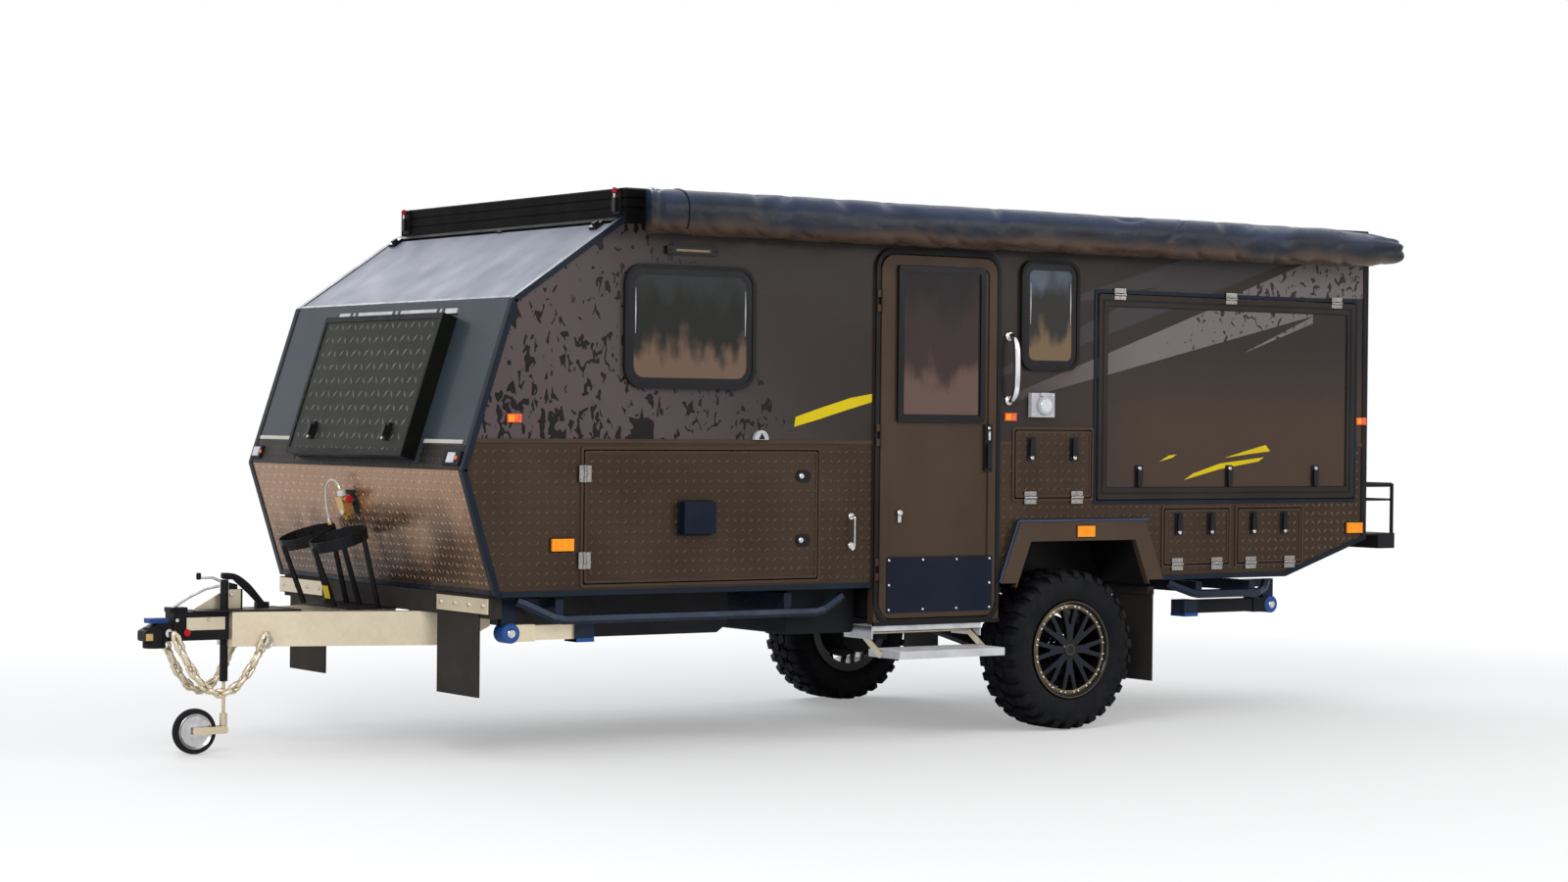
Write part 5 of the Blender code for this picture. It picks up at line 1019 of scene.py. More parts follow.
def side_fittings():
    """What else is on the near wall: vent box, strip and dome lamps, hook, power inlet and grab bar."""
    box_lid = box((1.088, 1.254), out_pair(NEAR, 0.004, 0.050), (0.978, 1.118), 0.0018)
    flange = box((1.078, 1.264), out_pair(NEAR, 0.004, 0.009), (0.968, 1.128), 0.002)
    make("vent_box", "storage_door_left", [(box_lid, "kick_blue"), (flange, "satin_black")])

    parts = [(box((1.0045, 1.2775), out_pair(NEAR, 0.0, 0.016), (2.2115, 2.2485), 0.001), "gloss_black"),
             (box((1.052, 1.230), out_pair(NEAR, 0.012, 0.0175), (2.225, 2.235), 0.002), "lamp_strip")]
    for x in (1.018, 1.264):
        parts.append((screw(Vector((x, -HALF - 0.016, 2.230)), Vector((0, -1, 0))), "satin_black"))
    half = [(0.0378 * math.cos(math.pi * k / 12), 0.0428 * math.sin(math.pi * k / 12)) for k in range(13)]
    dome = prism([(1.516 + u, 1.3955 + v) for u, v in half], "Y", *out_pair(NEAR, 0.0, 0.020), 0.002)
    wedge_mark = prism([(1.500, 1.398), (1.532, 1.398), (1.516, 1.426)], "Y", *out_pair(NEAR, 0.019, 0.0215))
    parts += [(dome, "plastic_grey"), (wedge_mark, "kick_blue")]
    make("wall_lamps", "trailer", parts)

    hook = rod(curved([(2.027, -HALF - 0.006, 1.045), (2.027, -HALF - 0.030, 1.045),
                       (2.027, -HALF - 0.032, 1.02),
                       (2.027, -HALF - 0.032, 0.93), (2.027, -HALF - 0.030, 0.905),
                       (2.018, -HALF - 0.028, 0.893),
                       (2.010, -HALF - 0.026, 0.905)], 4), 0.0042, 10)
    parts = [(hook, "steel_bright")]
    for z in (1.046, 0.912):
        parts.append((disc((2.027, 0, z), 0.016, -HALF - 0.008, -HALF - SEAT, "Y", 20, 0.002),
                      "steel_bright"))
    make("door_hook", "trailer", parts)

    parts = [(box((3.068, 3.211), out_pair(NEAR, SEAT, 0.024), (1.511, 1.627), 0.010), "plastic_grey"),
             (disc((3.148, 0, 1.567), 0.046, -HALF - 0.038, -HALF - 0.020, "Y", 36, 0.005), "plastic_grey"),
             (disc((3.148, 0, 1.567), 0.034, -HALF - 0.041, -HALF - 0.036, "Y", 36, 0.002), "lamp_clear"),
             (box((3.120, 3.176), out_pair(NEAR, 0.020, 0.034), (1.612, 1.628), 0.004), "plastic_grey")]
    for x, z in ((3.080, 1.523), (3.199, 1.523), (3.080, 1.615), (3.199, 1.615)):
        parts.append((screw(Vector((x, -HALF - 0.0235, z)), Vector((0, -1, 0)), 0.004), "steel_bright"))
    make("power_inlet", "trailer", parts)

    loop = curved([(2.945, -1.052, 1.590), (2.945, -1.078, 1.592), (2.947, -1.103, 1.628),
                   (2.948, -1.110, 1.690),
                   (2.948, -1.110, 1.795), (2.947, -1.103, 1.857), (2.945, -1.078, 1.893),
                   (2.945, -1.052, 1.895)], 6)
    parts = [(rod(loop, [0.013 + 0.003 * math.sin(math.pi * k / (len(loop) - 1)) for k in range(len(loop))],
                  16),
              "chrome_bright")]
    for z in (1.590, 1.895):
        parts.append((disc((2.945, 0, z), 0.024, -HALF - 0.014, -HALF - SEAT, "Y", 24, 0.005),
                      "chrome_bright"))
    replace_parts(make("grab_bar", "trailer", parts), "grab_handle")


def stripes():
    """Plain yellow slashes: one on the wall ahead of the door, three on the kitchen hatch."""
    def slash(points, out):
        return prism(points, "Y", *out_pair(NEAR, out, out + 0.0008)), "accent_yellow"

    wall = [slash([(1.705, 1.455), (1.712, 1.500), (1.86, 1.545), (2.02, 1.590), (2.140, 1.610),
                   (2.140, 1.572),
                   (2.00, 1.535), (1.84, 1.490)], 0.0004)]
    make("stripes_wall", "trailer", wall)
    hatch = [slash([(4.060, 1.208), (4.300, 1.262), (4.560, 1.300), (4.600, 1.322), (4.300, 1.290),
                    (4.120, 1.240)], 0.0044),
             slash([(4.330, 1.318), (4.470, 1.352), (4.610, 1.384), (4.640, 1.352), (4.500, 1.338)], 0.0044),
             slash([(3.900, 1.300), (3.980, 1.318), (4.010, 1.334), (3.960, 1.330)], 0.0044)]
    make("stripes_hatch", "kitchen_door", hatch)


# Entry door

def door_fittings():
    leaf_x, leaf_z = (2.179, 2.858), (0.572, 2.256)
    face = 0.012
    edge = rounded(rectangle(leaf_x, leaf_z, -0.0005), 0.072, 8)
    inner = rounded(rectangle(leaf_x, leaf_z, -0.046), 0.040, 8)
    parts = [(border(edge, inner, "Y", *out_pair(NEAR, face - 0.001, face + 0.007), 0.0030), "door_brown")]
    steps = (((2.272, 2.783), (1.482, 2.208), 0.028, face + 0.016),
             ((2.292, 2.763), (1.502, 2.188), 0.016, face + 0.010))
    for x, z, wide, out in steps:
        outside = rounded(rectangle(x, z), 0.012, 4)
        within = rounded(rectangle(x, z, -wide), 0.006, 4)
        parts.append((border(outside, within, "Y", *out_pair(NEAR, face - 0.001, out), 0.003), "gloss_black"))
    kick_x, kick_z = (2.219, 2.838), (0.597, 0.855)
    parts.append((box(kick_x, out_pair(NEAR, face + 0.0055, face + 0.010), kick_z, 0.001), "kick_blue"))
    first, last = kick_x[0] + 0.014, kick_x[1] - 0.014
    spots = [(first + k * (kick_x[1] - kick_x[0] - 0.028) / 3, z) for k in range(4)
             for z in (kick_z[0] + 0.014, kick_z[1] - 0.014)]
    for x, z in spots + [(first, 0.726), (last, 0.726)]:
        parts.append((screw(Vector((x, -HALF - face - 0.0095, z)), Vector((0, -1, 0)), 0.006),
                      "steel_bright"))
    handle_x = (2.786, 2.832)
    parts.append((box(handle_x, out_pair(NEAR, face + 0.002, face + 0.012), (1.252, 1.474), 0.0018),
                  "satin_black"))
    parts.append((box((2.797, 2.821), out_pair(NEAR, face + 0.010, face + 0.024), (1.268, 1.380), 0.0018),
                  "gloss_black"))
    parts.append((box((2.803, 2.815), out_pair(NEAR, face + 0.011, face + 0.020), (1.400, 1.440), 0.003),
                  "steel_bright"))
    parts.append((disc((2.809, 0, 1.456), 0.008, -HALF - face - 0.020, -HALF - face - 0.010, "Y", 20, 0.002),
                  "steel_bright"))
    parts.append((disc((2.290, 0, 1.060), 0.015, -HALF - face - 0.020, -HALF - face - SEAT, "Y", 24, 0.004),
                  "steel_bright"))
    parts.append((box((2.281, 2.299), out_pair(NEAR, face, face + 0.010), (1.016, 1.060), 0.003),
                  "steel_bright"))
    make("door_fittings", "door", parts)
    opening = (2.173, 2.864), (0.566, 2.262)
    outer = rounded(rectangle(*opening, 0.022), 0.094, 8)
    seal = rounded(rectangle(*opening, 0.001), 0.074, 8)
    sill = box((2.151, 2.886), out_pair(NEAR, 0.004, 0.020), (0.538, 0.556), 0.003)
    make("door_surround", "trailer",
         [(border(outer, seal, "Y", *out_pair(NEAR, 0.006, 0.0165), 0.004), "satin_black"),
          (sill, "satin_black")])


# Wheels, built facing +Z about the origin

LUGS = 30
SPOKES = 8


def circle_spot(radius, share, high=0.0):
    angle = 2 * math.pi * share
    return Vector((radius * math.cos(angle), radius * math.sin(angle), high))


def tyre_parts():
    """A turned carcass and four staggered rows of tread blocks, the outer ones lapping the sidewall."""
    half = [(0.095, 0.2160), (0.1065, 0.2375), (0.1160, 0.2450), (0.1195, 0.2520), (0.1205, 0.2590),
            (0.1235, 0.2620),
            (0.1280, 0.2820), (0.1310, 0.3060), (0.1305, 0.3300), (0.1265, 0.3480), (0.1190, 0.3600),
            (0.1000, 0.3680),
            (0.0500, 0.3715)]
    profile = half + [(0, 0.3722)] + [(-along, radius) for along, radius in reversed(half)]
    parts = [(turned(profile, (0, 0, 0), "Z", 96), "tyre_rubber")]
    centre_block = [(-0.027, 0.006), (0.008, 0.004), (0.028, 0.026), (0.022, 0.054), (-0.008, 0.060),
                    (-0.022, 0.036)]
    block = prism(centre_block, "Z", 0.364, 0.3872, 0.003)
    rib = prism([(-0.016, 0.010), (0.016, 0.010), (0.016, 0.016), (-0.016, 0.016)], "Z", 0.364, 0.380)
    bars = []
    for reach, wide in ((0.336, 0.022), (0.352, 0.016)):
        outline = [(0.068, 0.362), (0.068, 0.3868), (0.112, 0.3845), (0.1265, 0.374), (0.1325, 0.358),
                   (0.1325, reach),
                   (0.1240, reach), (0.110, 0.350)]
        bars.append(prism(outline, "X", -wide, wide, 0.0025))
    for k in range(LUGS):
        for row in (-1, 1):
            share = (k + 0.25 * row) / LUGS
            out = circle_spot(1, share)
            along = circle_spot(1, share + 0.25)
            across = Vector((0, 0, row))
            parts.append((placed(block, along * row, across, out, Vector()), "tyre_rubber"))
            parts.append((placed(bars[k % 2], along, across, out, Vector()), "tyre_rubber"))
            parts.append((placed(rib, along, across, circle_spot(1, share + 0.5 / LUGS), Vector()),
                          "tyre_rubber"))
    return parts


def rim_parts():
    """A deep barrel with a bolted bronze ring, split spokes, a cap and the wheel nuts."""
    barrel = [(-0.119, 0.193), (-0.119, 0.236), (-0.106, 0.236), (-0.0955, 0.2142), (0.0955, 0.2142),
              (0.106, 0.236),
              (0.117, 0.236), (0.119, 0.2345), (0.119, 0.2270), (0.114, 0.2235), (0.112, 0.2205),
              (0.105, 0.2190),
              (0.104, 0.1965), (0.096, 0.1935), (0.030, 0.1900)]
    ring = [(0.104, 0.1980), (0.1075, 0.1990), (0.1085, 0.2010), (0.1085, 0.2160), (0.1070, 0.2185),
            (0.104, 0.2190)]
    parts = [(turned(barrel, (0, 0, 0), "Z", 72), "wheel_gloss"),
             (turned(ring, (0, 0, 0), "Z", 72), "wheel_edge")]
    leg_out, leg_in = [(0.016, 0.034), (0.021, 0.090), (0.047, 0.200)], [(0.026, 0.200), (0.006, 0.122)]
    outline = leg_out + leg_in
    outline = outline + [(-u, v) for u, v in reversed(outline)]
    spoke = prism(outline, "Z", 0.083, 0.107, 0.004)
    inlay = prism([(0.010, 0.060), (0.013, 0.092), (0.036, 0.186), (0.031, 0.190), (0.008, 0.108),
                   (-0.008, 0.108),
                   (-0.031, 0.190), (-0.036, 0.186), (-0.013, 0.092), (-0.010, 0.060)], "Z", 0.1060, 0.1078,
                   0.0006)
    stud = disc((0, 0, 0), 0.0052, 0.1080, 0.1125, "Z", 12, 0.0015)
    nut = disc((0, 0, 0), 0.0125, 0.040, 0.066, "Z", 6, 0.003)
    for k in range(SPOKES):
        share = k / SPOKES
        along, toward = circle_spot(1, share + 0.25), circle_spot(1, share)
        parts.append((placed(spoke, along, toward, Z, Vector()), "wheel_gloss"))
        parts.append((placed(inlay, along, toward, Z, Vector()), "spoke_blue"))
        for shift in (-0.021, 0.021):
            parts.append((placed(stud, X, Y, Z, circle_spot(0.2085, share + shift)), "steel_bright"))
            parts.append((placed(stud, X, Y, Z, circle_spot(0.2085, share + 0.5 / SPOKES + shift)),
                          "steel_bright"))
    for k in range(6):
        parts.append((placed(nut, X, Y, Z, circle_spot(0.062, (k + 0.5) / 6)), "steel_bright"))
    parts += [(disc((0, 0, 0), 0.088, 0.022, 0.044, "Z", 48, 0.004), "wheel_gloss"),
              (disc((0, 0, 0), 0.160, -0.060, -0.040, "Z", 48, 0.004), "satin_black"),
              (disc((0, 0, 0), 0.042, 0.040, 0.1115, "Z", 40, 0.007), "wheel_gloss"),
              (turned([(0.1105, 0.022), (0.1125, 0.023), (0.1125, 0.026), (0.1105, 0.027)], (0, 0, 0), "Z",
                      40),
               "wheel_edge"),
              (turned([(0.118, 0.229), (0.1198, 0.2295), (0.1198, 0.2335), (0.118, 0.234)], (0, 0, 0), "Z",
                      72),
               "wheel_edge")]
    return parts


def wheels():
    tyre, rim = tyre_parts(), rim_parts()
    places = (("left", "wheel_left", X, Z, -Y, (WHEEL_X, -WHEEL_Y, WHEEL_Z), "tyre_left", "rim_left"),
              ("right", "wheel_right", X, Z, Y, (WHEEL_X, WHEEL_Y, WHEEL_Z), "tyre_right", "rim_right"),
              ("spare", "trailer", Y, Z, X, SPARE, "spare_wheel", "spare_wheel"))
    for name, body, along, toward, out, at, tyre_node, rim_node in places:
        dressed = make(name + "_tyre", body,
                       [(placed(mesh, along, toward, out, Vector(at)), kind) for mesh, kind in tyre])
        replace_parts(dressed, tyre_node)
        face = make(name + "_rim", body,
                    [(placed(mesh, along, toward, out, Vector(at)), kind) for mesh, kind in rim])
        if rim_node != tyre_node:
            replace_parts(face, rim_node)


# Cloth: awning bag and canvas skirt

def loop_points(controls, count):
    """A smooth closed line through the control points, evenly spaced along its length."""
    ring = [Vector(p) for p in controls]
    fine = []
    for i in range(len(ring)):
        a, b, c, d = (ring[(i + k) % len(ring)] for k in (-1, 0, 1, 2))
        fine += [between(a, b, c, d, k / 16) for k in range(16)]
    lengths = [0.0]
    for p, q in zip(fine, fine[1:] + fine[:1]):
        lengths.append(lengths[-1] + (q - p).length)
    points, i = [], 0
    for k in range(count):
        want = lengths[-1] * k / count
        while lengths[i + 1] < want:
            i += 1
        share = (want - lengths[i]) / (lengths[i + 1] - lengths[i])
        points.append(fine[i].lerp(fine[(i + 1) % len(fine)], share))
    return points


AWNING_X = (0.785, 5.368)
AWNING_SECTION = ((-1.068, 2.470), (-1.100, 2.494), (-1.170, 2.493), (-1.245, 2.474), (-1.288, 2.430),
                  (-1.296, 2.380),
                  (-1.284, 2.325), (-1.235, 2.291), (-1.160, 2.286), (-1.095, 2.296), (-1.068, 2.330))
AWNING_AROUND, AWNING_STATIONS = 64, 300
ROUND_FRONT, ROUND_REAR = 0.022, 0.050   # the length over which each end is rounded
PINCH_LENGTH = 0.42                      # the length over which the rear end is drawn in


def crease(value, sharp):
    """A fold line where the value crosses zero."""
    return math.exp(-(value / sharp) ** 2)


def awning_fold(x, around):
    """How far the cloth dips at x and at a share of the way round from the wall, over the top and down."""
    lean = x + 0.55 * around
    broad = 0.5 + 0.5 * noise.noise(Vector((x * 1.3, around * 2.0, 4.7)))
    top = crease(noise.noise(Vector((lean * 3.1, around * 1.4, 1.3))), 0.09)
    top *= max(0.0, 1 - abs(around - 0.26) / 0.22)
    low = crease(noise.noise(Vector(((x - 0.8 * around) * 4.2, around * 1.8, 8.1))), 0.11)
    low *= max(0.0, 1 - abs(around - 0.60) / 0.20)
    fine = 0.5 + 0.5 * noise.noise(Vector((lean * 9.0, around * 6.0, 2.2)))
    return 0.008 * broad + 0.014 * top + 0.016 * low + 0.005 * fine


FRONT_SKEW, SKEW_LENGTH = 0.100, 0.32
SEAM_FROM_FRONT = 0.190
SEAM_FROM, SEAM_TO = 2, 34               # the seam's part of the section's points


def awning_x(x, y, from_front):
    """The cloth's front end is drawn back toward the wall."""
    wall = (y - AWNING_SECTION[5][0]) / (AWNING_SECTION[0][0] - AWNING_SECTION[5][0])
    return x + FRONT_SKEW * wall * max(0.0, 1 - from_front / SKEW_LENGTH)


def awning():
    """A sagging shell of coated cloth: pulled creases, a seam near its front end and a pinched rear end."""
    section = loop_points(AWNING_SECTION, AWNING_AROUND)
    middle = sum(section, Vector((0, 0))) / len(section)
    low_x, high_x = AWNING_X
    shape = bmesh.new()
    rings = []
    for i in range(AWNING_STATIONS + 1):
        share = i / AWNING_STATIONS
        x = low_x + (high_x - low_x) * share
        from_front, from_rear = x - low_x, high_x - x
        round_front = min(1.0, from_front / ROUND_FRONT)
        round_rear = min(1.0, from_rear / ROUND_REAR)
        front_drop = 1 - math.sqrt(1 - (1 - round_front) ** 2)
        rear_drop = 1 - math.sqrt(1 - (1 - round_rear) ** 2)
        size = 1 - 0.10 * front_drop - 0.22 * rear_drop
        pinch = max(0.0, 1 - from_rear / PINCH_LENGTH) ** 1.6
        ring = []
        for k, point in enumerate(section):
            around = k / AWNING_AROUND
            inward = (middle - point).normalized()
            fold = awning_fold(x, around) * min(1.0, from_front / 0.06 + 0.1)
            fold += 0.006 * crease(from_front - 0.045, 0.006)
            fold += 0.020 * pinch * crease(noise.noise(Vector((around * 7.0, x * 1.5, 3.3))), 0.25)
            here = middle + (point - middle) * size + inward * fold
            here.y += (middle.y - here.y) * 0.22 * pinch
            ring.append(shape.verts.new((awning_x(x, here.x, from_front), here.x, here.y)))
        rings.append(ring)
    for here, beyond in zip(rings, rings[1:]):
        bridge(shape, here, beyond)
    for ring, x in ((rings[0], low_x), (rings[-1], high_x)):
        inner = []
        for vertex in ring:
            y, z = (Vector(vertex.co.yz) - middle) * 0.55 + middle
            inner.append(shape.verts.new((awning_x(x, y, x - low_x), y, z)))
        bridge(shape, ring, inner)
        shape.faces.new(inner)
    parts = [(finished(shape), "awning_vinyl")]
    seam = []
    seam_x = low_x + SEAM_FROM_FRONT
    for k in range(SEAM_FROM, SEAM_TO):
        p = section[k]
        fold = awning_fold(seam_x, k / AWNING_AROUND) - 0.002
        p = p + (middle - p).normalized() * fold
        seam.append((awning_x(seam_x, p.x, SEAM_FROM_FRONT), p.x, p.y))
    parts.append((rod(seam, 0.0035, 8), "satin_black"))
    bag = make("awning_cloth", "roof", parts)
    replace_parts(bag, "awning_bag")


SKIRT_OUT, SKIRT_IN = 1.029, 1.004
SKIRT_Z = (2.3685, 2.4560)
SKIRT_FOLDS = 11
CANVAS_THICK = 0.0012


def skirt():
    """Pleated canvas between the body and the roof; on the trailer it opens as the roof rises, but this shape
    is fixed and rides on no body.
    """
    front, rear = ROOF_FRONT[0] + 0.031, REAR_X - 0.021
    shape = bmesh.new()

    def ring(inset, z):
        x, y = (front + inset, rear - inset), SKIRT_OUT - inset
        corners = [(x[0], -y), (x[1], -y), (x[1], y), (x[0], y)]
        points = []
        for a, b in zip(corners, corners[1:] + corners[:1]):
            points += [Vector(a).lerp(Vector(b), k / 24) for k in range(24)]
        return [shape.verts.new((px, py, z)) for px, py in points]

    for thick in (0.0, CANVAS_THICK):
        rows = []
        for k in range(SKIRT_FOLDS * 2 + 1):
            z = SKIRT_Z[0] + (SKIRT_Z[1] - SKIRT_Z[0]) * k / (SKIRT_FOLDS * 2)
            rows.append(ring((0.0 if k % 2 else SKIRT_OUT - SKIRT_IN) + thick, z))
        for here, beyond in zip(rows, rows[1:]):
            bridge(shape, here, beyond)
        if thick:
            bridge(shape, first, rows[0])
            bridge(shape, last, rows[-1])
        first, last = rows[0], rows[-1]
    cloth = make("canvas_pleats", None, [(finished(shape), "canvas_grey")])
    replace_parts(cloth, "canvas_skirt")
    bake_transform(cloth)


# Front wall, gas, coupling

PANELS = {
    # foot and head of each panel, as (x, z)
    "lower": ((NOSE_FOOT_X, BODY_BOTTOM), (0, KNEE_Z)),
    "steep": ((0, KNEE_Z), BROW),
    "slope": (BROW, ROOF_FRONT),
}


def on_front(panel, run, y, out=0.0):
    """The directions to the near side, up the panel and out of it, and a place on it."""
    foot, head = (Vector(p) for p in PANELS[panel])
    up = (head - foot).normalized()
    up = Vector((up.x, 0, up.y))
    normal = Vector((-up.z, 0, up.x))
    return Vector((0, -1, 0)), up, normal, Vector((foot.x, y, foot.y)) + up * run + normal * out


def front_plate(panel, run, y, out, soft=0.001):
    """A box on a front panel, from its pairs along the panel, across it and out of it."""
    plate = box(tuple(sorted(-v for v in y)), run, out, soft)
    along, up, normal, at = on_front(panel, 0, 0)
    return placed(plate, along, up, normal, at)


GUARD_Y, GUARD_RUN, GUARD_OUT = (-0.600, 0.540), (0.035, 0.695), 0.070
GUARD_BORDER = 0.026                     # the black border along the guard's foot and head
PANEL_SEAT = 0.0006                      # how far the front wall's plates stand off their panels


def front_wall():
    parts = []
    for run, y in (((0.002, 0.112), (-1.012, -0.640)), ((0.002, 0.112), (0.580, 1.012)),
                   ((0.002, 0.029), (-0.640, 0.580))):
        parts.append((front_plate("steep", run, y, (PANEL_SEAT, 0.0030)), "knee_tread"))
    for y in ((-0.985, -0.640), (0.690, 1.010)):
        parts.append((front_plate("steep", (0.1180, 0.1350), y, (PANEL_SEAT, 0.0045)), "trim_light"))
    for y in ((-1.015, -0.872), (0.935, 1.030)):
        parts.append((front_plate("steep", (0.020, 0.084), y, (0.0032, 0.012), 0.003), "satin_black"))
        middle = (y[0] + y[1]) / 2
        parts.append((front_plate("steep", (0.030, 0.074), (middle - 0.030, middle + 0.030), (0.011, 0.018),
                                  0.003), "lamp_clear"))
        parts.append((front_plate("steep", (0.044, 0.060), (middle - 0.052, middle - 0.036), (0.011, 0.016),
                                  0.002), "lamp_red"))
    parts.append((front_plate("steep", (0.7125, 0.7360), (-0.600, 0.540), (PANEL_SEAT, 0.012), 0.002),
                  "aluminium_step"))
    parts.append((front_plate("lower", (0.004, 0.026), (-1.012, 1.012), (PANEL_SEAT, 0.004)),
                  "edge_black_sky_tint"))
    parts.append((front_plate("slope", (0.004, 0.020), (-1.012, 1.012), (PANEL_SEAT, 0.0035)),
                  "edge_black_sky_tint"))
    parts.append((front_plate("slope", (0.626, 0.650), (-1.012, 1.012), (PANEL_SEAT, 0.006), 0.002),
                  "satin_black"))
    for y in (-0.930, 0.960):
        parts.append((front_plate("slope", (0.560, 0.618), (y - 0.028, y + 0.028), (PANEL_SEAT, 0.016),
                                  0.004),
                      "gloss_black"))
        parts.append((front_plate("slope", (0.574, 0.600), (y - 0.012, y + 0.012), (0.015, 0.026), 0.004),
                      "satin_black"))
    parts.append((front_plate("slope", (0.606, 0.622), (-0.050, -0.010), (PANEL_SEAT, 0.010), 0.003),
                  "satin_black"))
    make("front_wall_trim", "trailer", parts)

    low, high = GUARD_RUN
    cover = []
    face = (GUARD_OUT + 0.0002, GUARD_OUT + 0.004)
    for run, y in (((low, low + GUARD_BORDER), GUARD_Y), ((high - GUARD_BORDER, high), GUARD_Y),
                   ((low + GUARD_BORDER, high - GUARD_BORDER), (GUARD_Y[0], GUARD_Y[0] + 0.022)),
                   ((low + GUARD_BORDER, high - GUARD_BORDER), (GUARD_Y[1] - 0.022, GUARD_Y[1]))):
        cover.append((front_plate("steep", run, y, face), "satin_black"))
    for y in (-0.400, 0.335):
        cover.append((front_plate("steep", (low + 0.070, low + 0.150), (y - 0.022, y + 0.022),
                                  (GUARD_OUT, GUARD_OUT + 0.010),
                                  0.004), "satin_black"))
        cover.append((front_plate("steep", (low + 0.085, low + 0.136), (y - 0.013, y + 0.013),
                                  (GUARD_OUT + 0.008, GUARD_OUT + 0.022), 0.004), "gloss_black"))
        cover.append((front_plate("steep", (low + 0.070, low + 0.082), (y - 0.008, y + 0.008),
                                  (GUARD_OUT + 0.008, GUARD_OUT + 0.016), 0.002), "steel_bright"))
    make("guard_trim", "guard", cover)


def roof_latches():
    for y, name in ((-0.985, "left"), (0.985, "right")):
        x = ROOF_FRONT[0] + 0.0095
        parts = [(box((x - 0.010, x), (y - 0.028, y + 0.028), (2.380, 2.482), 0.0015), "satin_black"),
                 (box((x - 0.026, x - 0.009), (y - 0.014, y + 0.014), (2.392, 2.452), 0.0018), "gloss_black"),
                 (rod([(x - 0.020, y, 2.440), (x - 0.020, y, 2.474)], 0.006, 10), "steel_bright"),
                 (disc((x - 0.020, y, 0), 0.011, 2.470, 2.4965, "Z", 16, 0.005), "accent_red")]
        make("roof_latch_" + name, "roof", parts)
    strips = (((0.802, 5.322), (-1.0505, -1.043)), ((0.802, 5.322), (1.043, 1.0505)),
              ((0.7985, 0.806), (-1.0505, 1.0505)))
    make("roof_edge", "roof",
         [(box(x, y, (2.4885, 2.4940), 0.002), "gloss_black") for x, y in strips])


REGULATOR_Z, REGULATOR_Y = 1.100, 0.060
HOSE_R = 0.005
HOSE = ((-0.047, 0, 0.075), (-0.047, 0.015, 0.105), (-0.055, 0.055, 0.115), (-0.065, 0.100, 0.080),
        (-0.070, 0.125, 0.020),
        (-0.075, 0.130, -0.030), (-0.080, 0.126, -0.075))


def gas():
    """The regulator with its gauge, taps and pigtail hose, on the lower front panel."""
    lean = math.atan2(NOSE_FOOT_X, KNEE_Z - BODY_BOTTOM)
    face = NOSE_FOOT_X * (KNEE_Z - REGULATOR_Z) / (KNEE_Z - BODY_BOTTOM)
    pivot = Vector((face, REGULATOR_Y, REGULATOR_Z))
    turn = Matrix.Translation(pivot) @ Matrix.Rotation(-lean, 4, "Y")

    def leaning(mesh):
        mesh.transform(turn)
        return mesh

    line = [turn @ p for p in curved(HOSE, 5)]
    hose = make("gas_hose", "trailer", [(rod(line, HOSE_R, 14), "hose_white")])
    ends = []
    for first, second in ((line[0], line[1]), (line[-1], line[-2])):
        run = (second - first).normalized()
        ends.append((rod([first - run * 0.016, first + run * 0.001], 0.0095, 6), "brass_warm"))
        ends.append((rod([first - run * 0.004, first + run * 0.014], [0.0088, 0.0072], 14), "steel_bright"))
    parts = [(leaning(box((-0.066, -0.022), (-0.030, 0.030), (-0.050, 0.040), 0.010)), "brass_warm"),
             (leaning(disc((-0.044, 0, 0), 0.020, 0.036, 0.066, "Z", 24, 0.005)), "lamp_clear"),
             (leaning(disc((0, 0.0, 0.0), 0.016, -0.040, -0.0005, "X", 20, 0.002)), "steel_bright"),
             (leaning(disc((0, -0.014, -0.030), 0.017, -0.074, -0.060, "X", 24, 0.003)), "brass_warm"),
             (leaning(disc((0, -0.014, -0.030), 0.013, -0.076, -0.072, "X", 24, 0.001)), "lamp_clear"),
             (leaning(disc((-0.050, 0, 0.026), 0.012, -0.060, -0.028, "Y", 6, 0.002)), "brass_warm"),
             (leaning(disc((-0.050, 0, 0.026), 0.017, -0.082, -0.060, "Y", 20, 0.006)), "accent_red"),
             (leaning(disc((-0.046, 0.012, 0), 0.0095, -0.074, -0.048, "Z", 6, 0.002)), "accent_yellow"),
             (leaning(box((-0.004, -0.0008), (-0.046, 0.046), (-0.060, 0.052), 0.001)), "satin_black")]
    body = make("regulator_body", "trailer", parts)
    fittings = make("hose_fittings", "trailer", ends)
    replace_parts(body, "gas_regulator")


